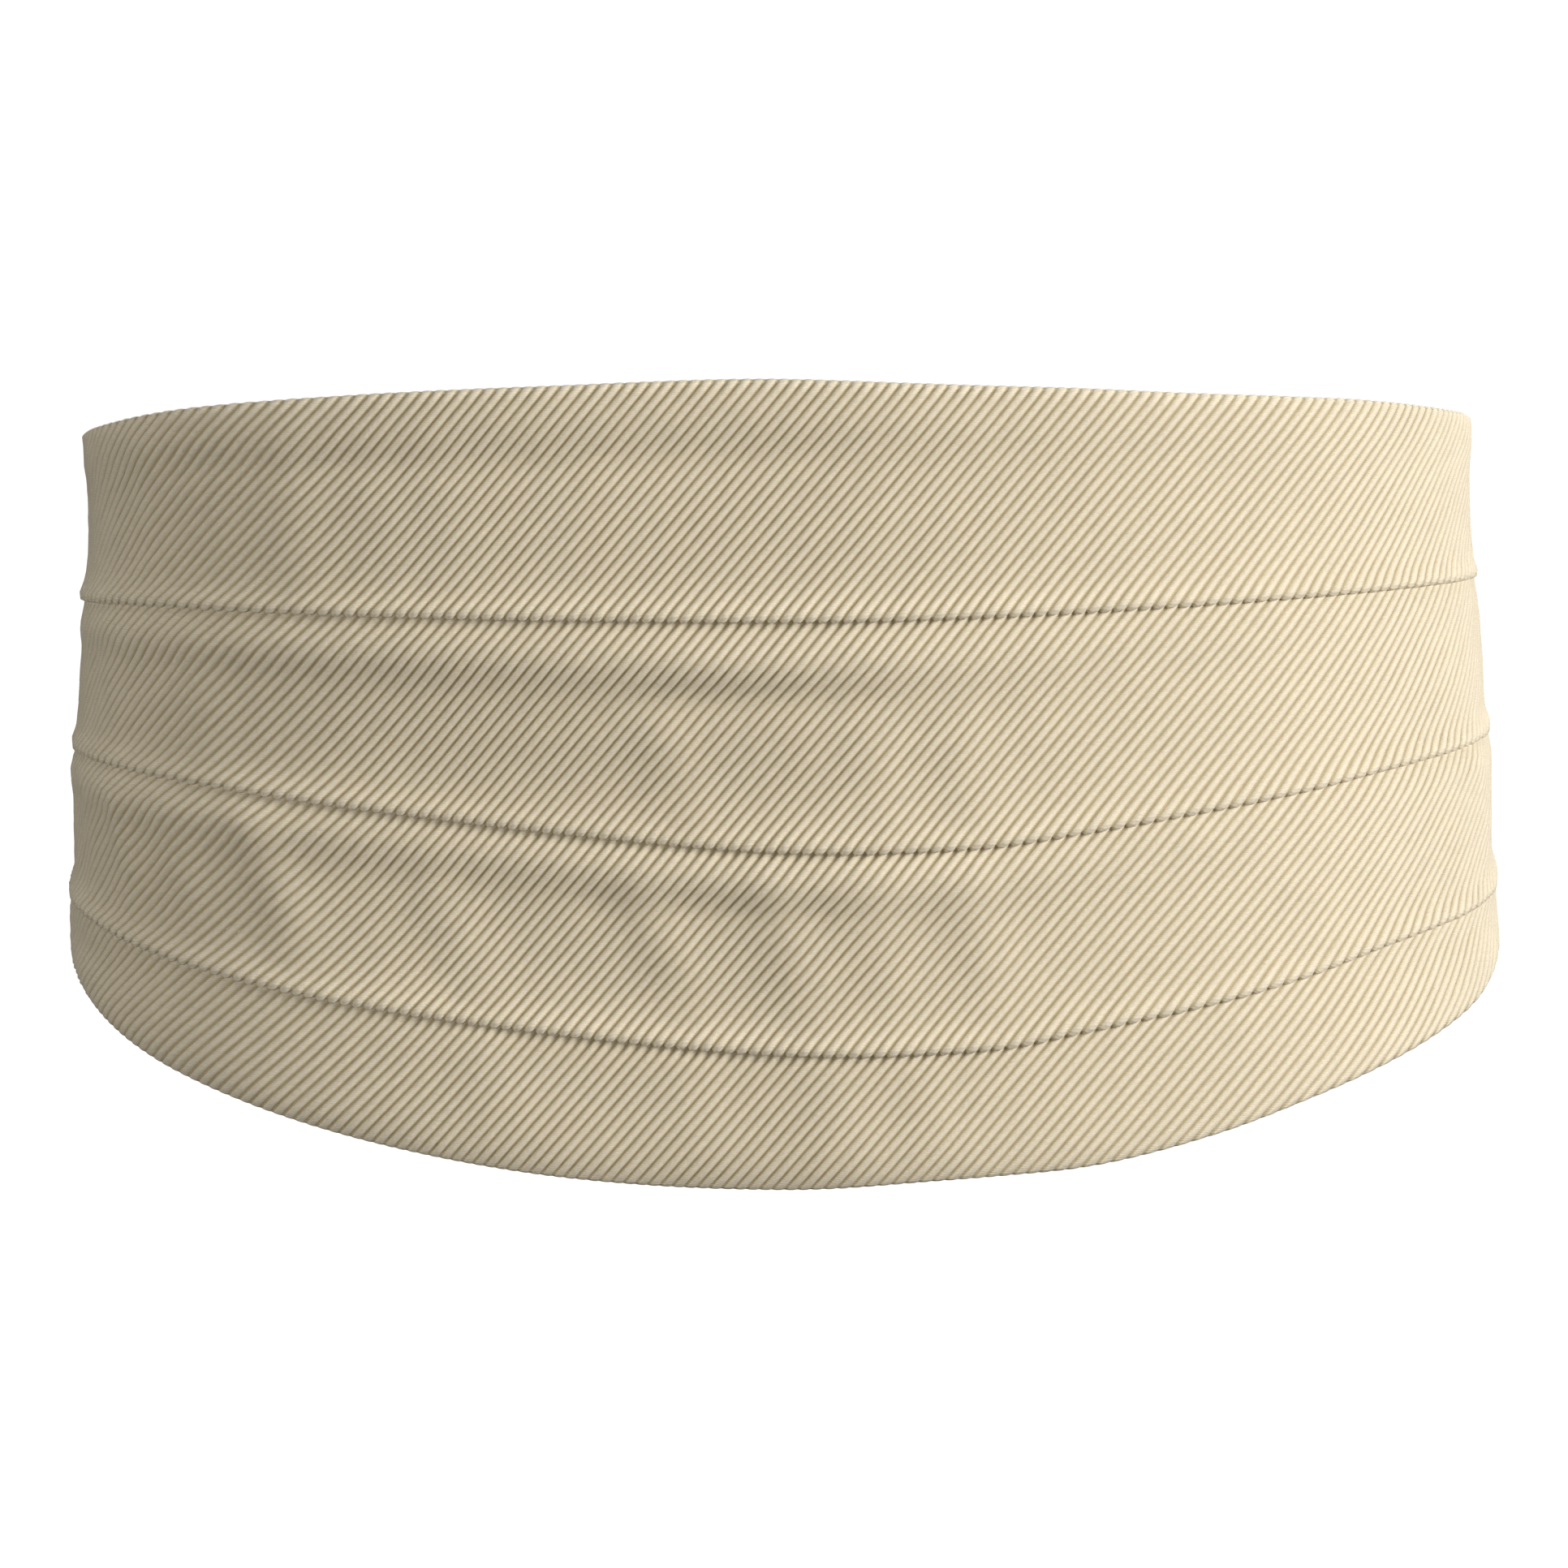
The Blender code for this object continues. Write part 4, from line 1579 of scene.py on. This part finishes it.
@dataclass(frozen=True)
class RibClothFinish:
    """Cream ribbed cloth with a slight sheen, patterned in the cloth's own places, its grooves darkened
    with painted shade.
    """

    name: str
    weave: RibWeave
    crest: tuple[float, float, float] = (0.86, 0.765, 0.585)
    # groove and its edges: painted shade, a darker colour laid in the ribs' grooves where shade falls
    # between them; crest is the cloth's own colour.
    groove: tuple[float, float, float] = (0.53, 0.444, 0.274)
    groove_shade_edge: tuple[float, float] = (0.22, 0.68)
    roughness: float = 0.62
    roughness_spread: float = 0.25
    sheen: float = 0.07
    sheen_roughness: float = 0.45
    specular: float = 0.35
    grain_scale: float = 1500.0
    cloud_scale: float = 45.0
    slub_scales: tuple[float, float] = (0.9, 160.0)
    slub_lean: float = 0.6
    thread_pitch: float = 0.34 * MM
    thread_lean: float = 0.12
    thread_step: float = 0.7
    thread_stray: float = 1.1
    thread_bump: float = 0.05 * MM
    bump_strength: float = 0.7
    thread_relief: float = 0.5
    grain_relief: float = 1.2
    brightness: float = 0.90
    thread_shade: float = 0.045
    grain_shade: float = 0.22
    cloud_shade: float = 0.08
    slub_shade: float = 0.12

    def build(self) -> bpy.types.Material:
        """Makes the material.

        Returns:
            The material.
        """
        graph = Graph(self.name)
        places = graph.node("ShaderNodeUVMap", {"uv_map": "weave"})
        along = graph.node("ShaderNodeSeparateXYZ", {}, {0: places})
        up = Signal(graph, along.socket.node.outputs[1])
        phase = (along - up * self.weave.run) / self.weave.pitch
        rounded = (phase * math.pi).sine().size()
        # Mask of the painted groove shade: 1 in the grooves, 0 on the crests.
        groove_shade_share = 1.0 - rounded.eased(*self.groove_shade_edge)
        fine = {"Vector": places, "Scale": self.grain_scale, "Detail": 3.0, "Roughness": 0.6}
        grain = graph.node("ShaderNodeTexNoise", {}, fine)
        broad = {"Vector": places, "Scale": self.cloud_scale, "Detail": 2.0}
        cloud = graph.node("ShaderNodeTexNoise", {}, broad)
        slub_places = {
            0: phase * self.slub_scales[0],
            1: (along * self.slub_lean + up) * self.slub_scales[1],
        }
        drawn_out = {
            "Vector": graph.node("ShaderNodeCombineXYZ", {}, slub_places),
            "Scale": 1.0,
            "Detail": 2.0,
        }
        slub = graph.node("ShaderNodeTexNoise", {}, drawn_out)
        twist = (up - along * self.thread_lean) / self.thread_pitch
        twist = twist + phase * self.thread_step + grain * self.thread_stray
        thread = (twist * (2.0 * math.pi)).sine()
        # Painted shade: the grooves are coloured darker than the crests, where shade falls between the
        # ribs.
        shade = graph.blend(groove_shade_share, self.crest, self.groove)
        value = self.brightness + thread * self.thread_shade + (grain - 0.5) * self.grain_shade
        value = value + (cloud - 0.5) * self.cloud_shade + (slub - 0.5) * self.slub_shade
        tinted = graph.blend(1.0, shade, self.grey(graph, value), "MULTIPLY")
        height = thread * self.thread_relief + (grain - 0.5) * self.grain_relief
        relief = {"Strength": self.bump_strength, "Distance": self.thread_bump, "Height": height}
        bump = graph.node("ShaderNodeBump", {}, relief)
        shader = graph.node(
            "ShaderNodeBsdfPrincipled",
            {},
            {
                "Base Color": tinted,
                "Roughness": self.roughness + (grain - 0.5) * self.roughness_spread,
                "Normal": bump,
                "Sheen Weight": self.sheen,
                "Sheen Roughness": self.sheen_roughness,
                "Specular IOR Level": self.specular,
            },
        )
        return graph.finish(shader)

    @staticmethod
    def grey(graph: Graph, value: Signal) -> Signal:
        """Turns a value into a grey."""
        return graph.node("ShaderNodeCombineColor", {}, {0: value, 1: value, 2: value})


@dataclass(frozen=True)
class ThreadFinish:
    """Cream sewing thread, a shade lighter than the cloth and twisted."""

    name: str = "cream_thread"
    colour: tuple[float, float, float] = (0.80, 0.71, 0.52)
    shaded: tuple[float, float, float] = (0.62, 0.53, 0.37)
    twist_scale: float = 900.0
    fuzz_scale: float = 4000.0
    bump: float = 0.04 * MM

    def build(self) -> bpy.types.Material:
        """Makes the material.

        Returns:
            The material.
        """
        graph = Graph(self.name)
        places = graph.node("ShaderNodeTexCoord", {}, {}, "Object")
        waves = {"Vector": places, "Scale": self.twist_scale, "Distortion": 1.5}
        twist = graph.node("ShaderNodeTexWave", {}, waves)
        fibres = {"Vector": places, "Scale": self.fuzz_scale, "Detail": 2.0}
        fuzz = graph.node("ShaderNodeTexNoise", {}, fibres)
        relief = {"Strength": 0.6, "Distance": self.bump, "Height": twist + fuzz * 0.4}
        bump = graph.node("ShaderNodeBump", {}, relief)
        shader = graph.node(
            "ShaderNodeBsdfPrincipled",
            {},
            {
                "Base Color": graph.blend(twist * 0.6 + fuzz * 0.3, self.shaded, self.colour),
                "Roughness": 0.5 + (fuzz - 0.5) * 0.3,
                "Normal": bump,
                "Sheen Weight": 0.2,
            },
        )
        return graph.finish(shader)


@dataclass(frozen=True)
class NickelFinish:
    """Satin nickel plate with fine brushing along the metal and a few rubbed places."""

    name: str = "satin_nickel"
    colour: tuple[float, float, float] = (0.72, 0.70, 0.66)
    rubbed: tuple[float, float, float] = (0.78, 0.76, 0.72)
    brushing: tuple[float, float, float] = (900.0, 900.0, 9000.0)
    wear_scale: float = 260.0
    wear_edge: tuple[float, float] = (0.45, 0.7)
    roughness: float = 0.34
    roughness_spread: float = 0.08
    bump: float = 0.01 * MM

    def build(self) -> bpy.types.Material:
        """Makes the material.

        Returns:
            The material.
        """
        graph = Graph(self.name)
        places = graph.node("ShaderNodeTexCoord", {}, {}, "Object")
        stretched = graph.node("ShaderNodeMapping", {}, {"Vector": places, "Scale": self.brushing})
        lines = {"Vector": stretched, "Scale": 1.0, "Detail": 3.0}
        brushed = graph.node("ShaderNodeTexNoise", {}, lines)
        rubs = {"Vector": places, "Scale": self.wear_scale, "Detail": 4.0}
        worn = graph.node("ShaderNodeTexNoise", {}, rubs)
        relief = {"Strength": 0.10, "Distance": self.bump, "Height": brushed}
        bump = graph.node("ShaderNodeBump", {}, relief)
        shader = graph.node(
            "ShaderNodeBsdfPrincipled",
            {},
            {
                "Base Color": graph.blend(worn.eased(*self.wear_edge), self.colour, self.rubbed),
                "Metallic": 1.0,
                "Roughness": self.roughness
                + (brushed - 0.5) * self.roughness_spread
                + (worn - 0.5) * self.roughness_spread,
                "Normal": bump,
            },
        )
        return graph.finish(shader)


@dataclass(frozen=True)
class Lamp:
    """One soft light: where it stands as seen from the garment, its size and its power."""

    name: str
    azimuth: float
    elevation: float
    distance: float
    size: float
    power: float
    colour: tuple[float, float, float] = (1.0, 1.0, 1.0)

    def build(self) -> None:
        """Makes the light, turned to the garment."""
        turn, rise = math.radians(self.azimuth), math.radians(self.elevation)
        towards = Vector(
            (math.sin(turn) * math.cos(rise), -math.cos(turn) * math.cos(rise), math.sin(rise))
        )
        bpy.ops.object.light_add(type="AREA", location=towards * self.distance)
        lamp = bpy.context.object
        lamp.name = self.name
        lamp.rotation_euler = towards.to_track_quat("Z", "Y").to_euler()
        lamp.data.shape = "DISK"
        lamp.data.size = self.size
        lamp.data.energy = self.power
        lamp.data.color = self.colour


@dataclass(frozen=True)
class Studio:
    """Floor, lights and camera."""

    lamps: tuple[Lamp, ...] = (
        Lamp("key_light", 54.0, 18.0, 1.8, 0.8, 27.0, (1.0, 0.985, 0.965)),
        Lamp("side_light", 84.0, 20.0, 1.8, 0.8, 7.5, (1.0, 0.985, 0.965)),
        Lamp("top_light", -12.0, 54.0, 1.8, 0.9, 5.0, (1.0, 0.99, 0.97)),
        Lamp("fill_light", -16.0, -2.0, 1.8, 1.0, 6.4, (1.0, 0.985, 0.96)),
        Lamp("left_light", -56.0, 4.0, 1.8, 1.0, 5.5, (1.0, 0.985, 0.96)),
        Lamp("back_light", 155.0, 35.0, 2.0, 1.2, 15.0, (1.0, 1.0, 1.0)),
        Lamp("back_fill", -172.0, 18.0, 2.0, 1.2, 12.0, (1.0, 1.0, 1.0)),
    )
    floor_height: float = -1.05
    floor_half: float = 60.0
    target: tuple[float, float, float] = (0.00045, 0.0, -0.01651)
    distance: float = 1.3
    elevation: float = math.radians(9.0)
    roll: float = math.radians(0.8)
    lens: float = 147.13
    sensor: float = 36.0
    sight: float = 400.0
    room_light: float = 0.05

    def build_camera(self) -> None:
        """Puts the camera at the photograph's viewing angle."""
        back = Vector((0.0, -math.cos(self.elevation), math.sin(self.elevation)))
        level = Vector((1.0, 0.0, 0.0))
        upright = Vector((0.0, math.sin(self.elevation), math.cos(self.elevation)))
        right = level * math.cos(self.roll) - upright * math.sin(self.roll)
        up = upright * math.cos(self.roll) + level * math.sin(self.roll)
        bpy.ops.object.camera_add()
        camera = bpy.context.object
        turned = Matrix((right, up, back)).transposed().to_4x4()
        camera.matrix_world = Matrix.Translation(Vector(self.target) + back * self.distance) @ turned
        camera.data.lens = self.lens
        camera.data.sensor_width = self.sensor
        camera.data.clip_end = self.sight
        bpy.context.scene.camera = camera

    def build_floor(self) -> None:
        """Lays the floor as far below the garment as a wearer's feet are."""
        bpy.ops.mesh.primitive_plane_add(size=2 * self.floor_half, location=(0.0, 0.0, self.floor_height))
        floor = bpy.context.object
        floor.name = "floor"
        graph = Graph("white_floor")
        shader = graph.node(
            "ShaderNodeBsdfPrincipled",
            {},
            {
                "Base Color": (0.9, 0.9, 0.9, 1.0),
                "Roughness": 0.9,
                "Emission Color": (1.0, 1.0, 1.0, 1.0),
                "Emission Strength": 1.0,
            },
        )
        floor.data.materials.append(graph.finish(shader))
        floor.visible_diffuse = False
        floor.visible_glossy = False

    def build_world(self) -> None:
        """Gives the room a pale, even light."""
        world = bpy.data.worlds.new("room")
        world.use_nodes = True
        background = world.node_tree.nodes["Background"]
        background.inputs["Color"].default_value = (1.0, 1.0, 1.0, 1.0)
        background.inputs["Strength"].default_value = self.room_light
        bpy.context.scene.world = world

    def build(self) -> None:
        """Makes everything that isn't the garment."""
        self.build_camera()
        self.build_floor()
        self.build_world()
        for lamp in self.lamps:
            lamp.build()
        bpy.context.scene.view_settings.view_transform = "Standard"
        bpy.context.scene.view_settings.look = "None"


def main() -> None:
    """Builds the studio and the garment, and reports each piece."""
    logging.basicConfig(level=logging.INFO, format="%(message)s")
    Studio().build()
    waist, weave = WaistForm(), RibWeave()
    strap_weave = RibWeave(height=0.20 * MM, wall=0.50 * MM)
    cloth = RibClothFinish("cream_rib", weave).build()
    thread = ThreadFinish().build()
    for side in Side:
        BackStrap(side, waist, strap_weave).build(cloth, thread)
    PleatedFront(waist, weave).build(cloth)
    Clasp().build(NickelFinish().build())


if __name__ == "__main__":
    main()
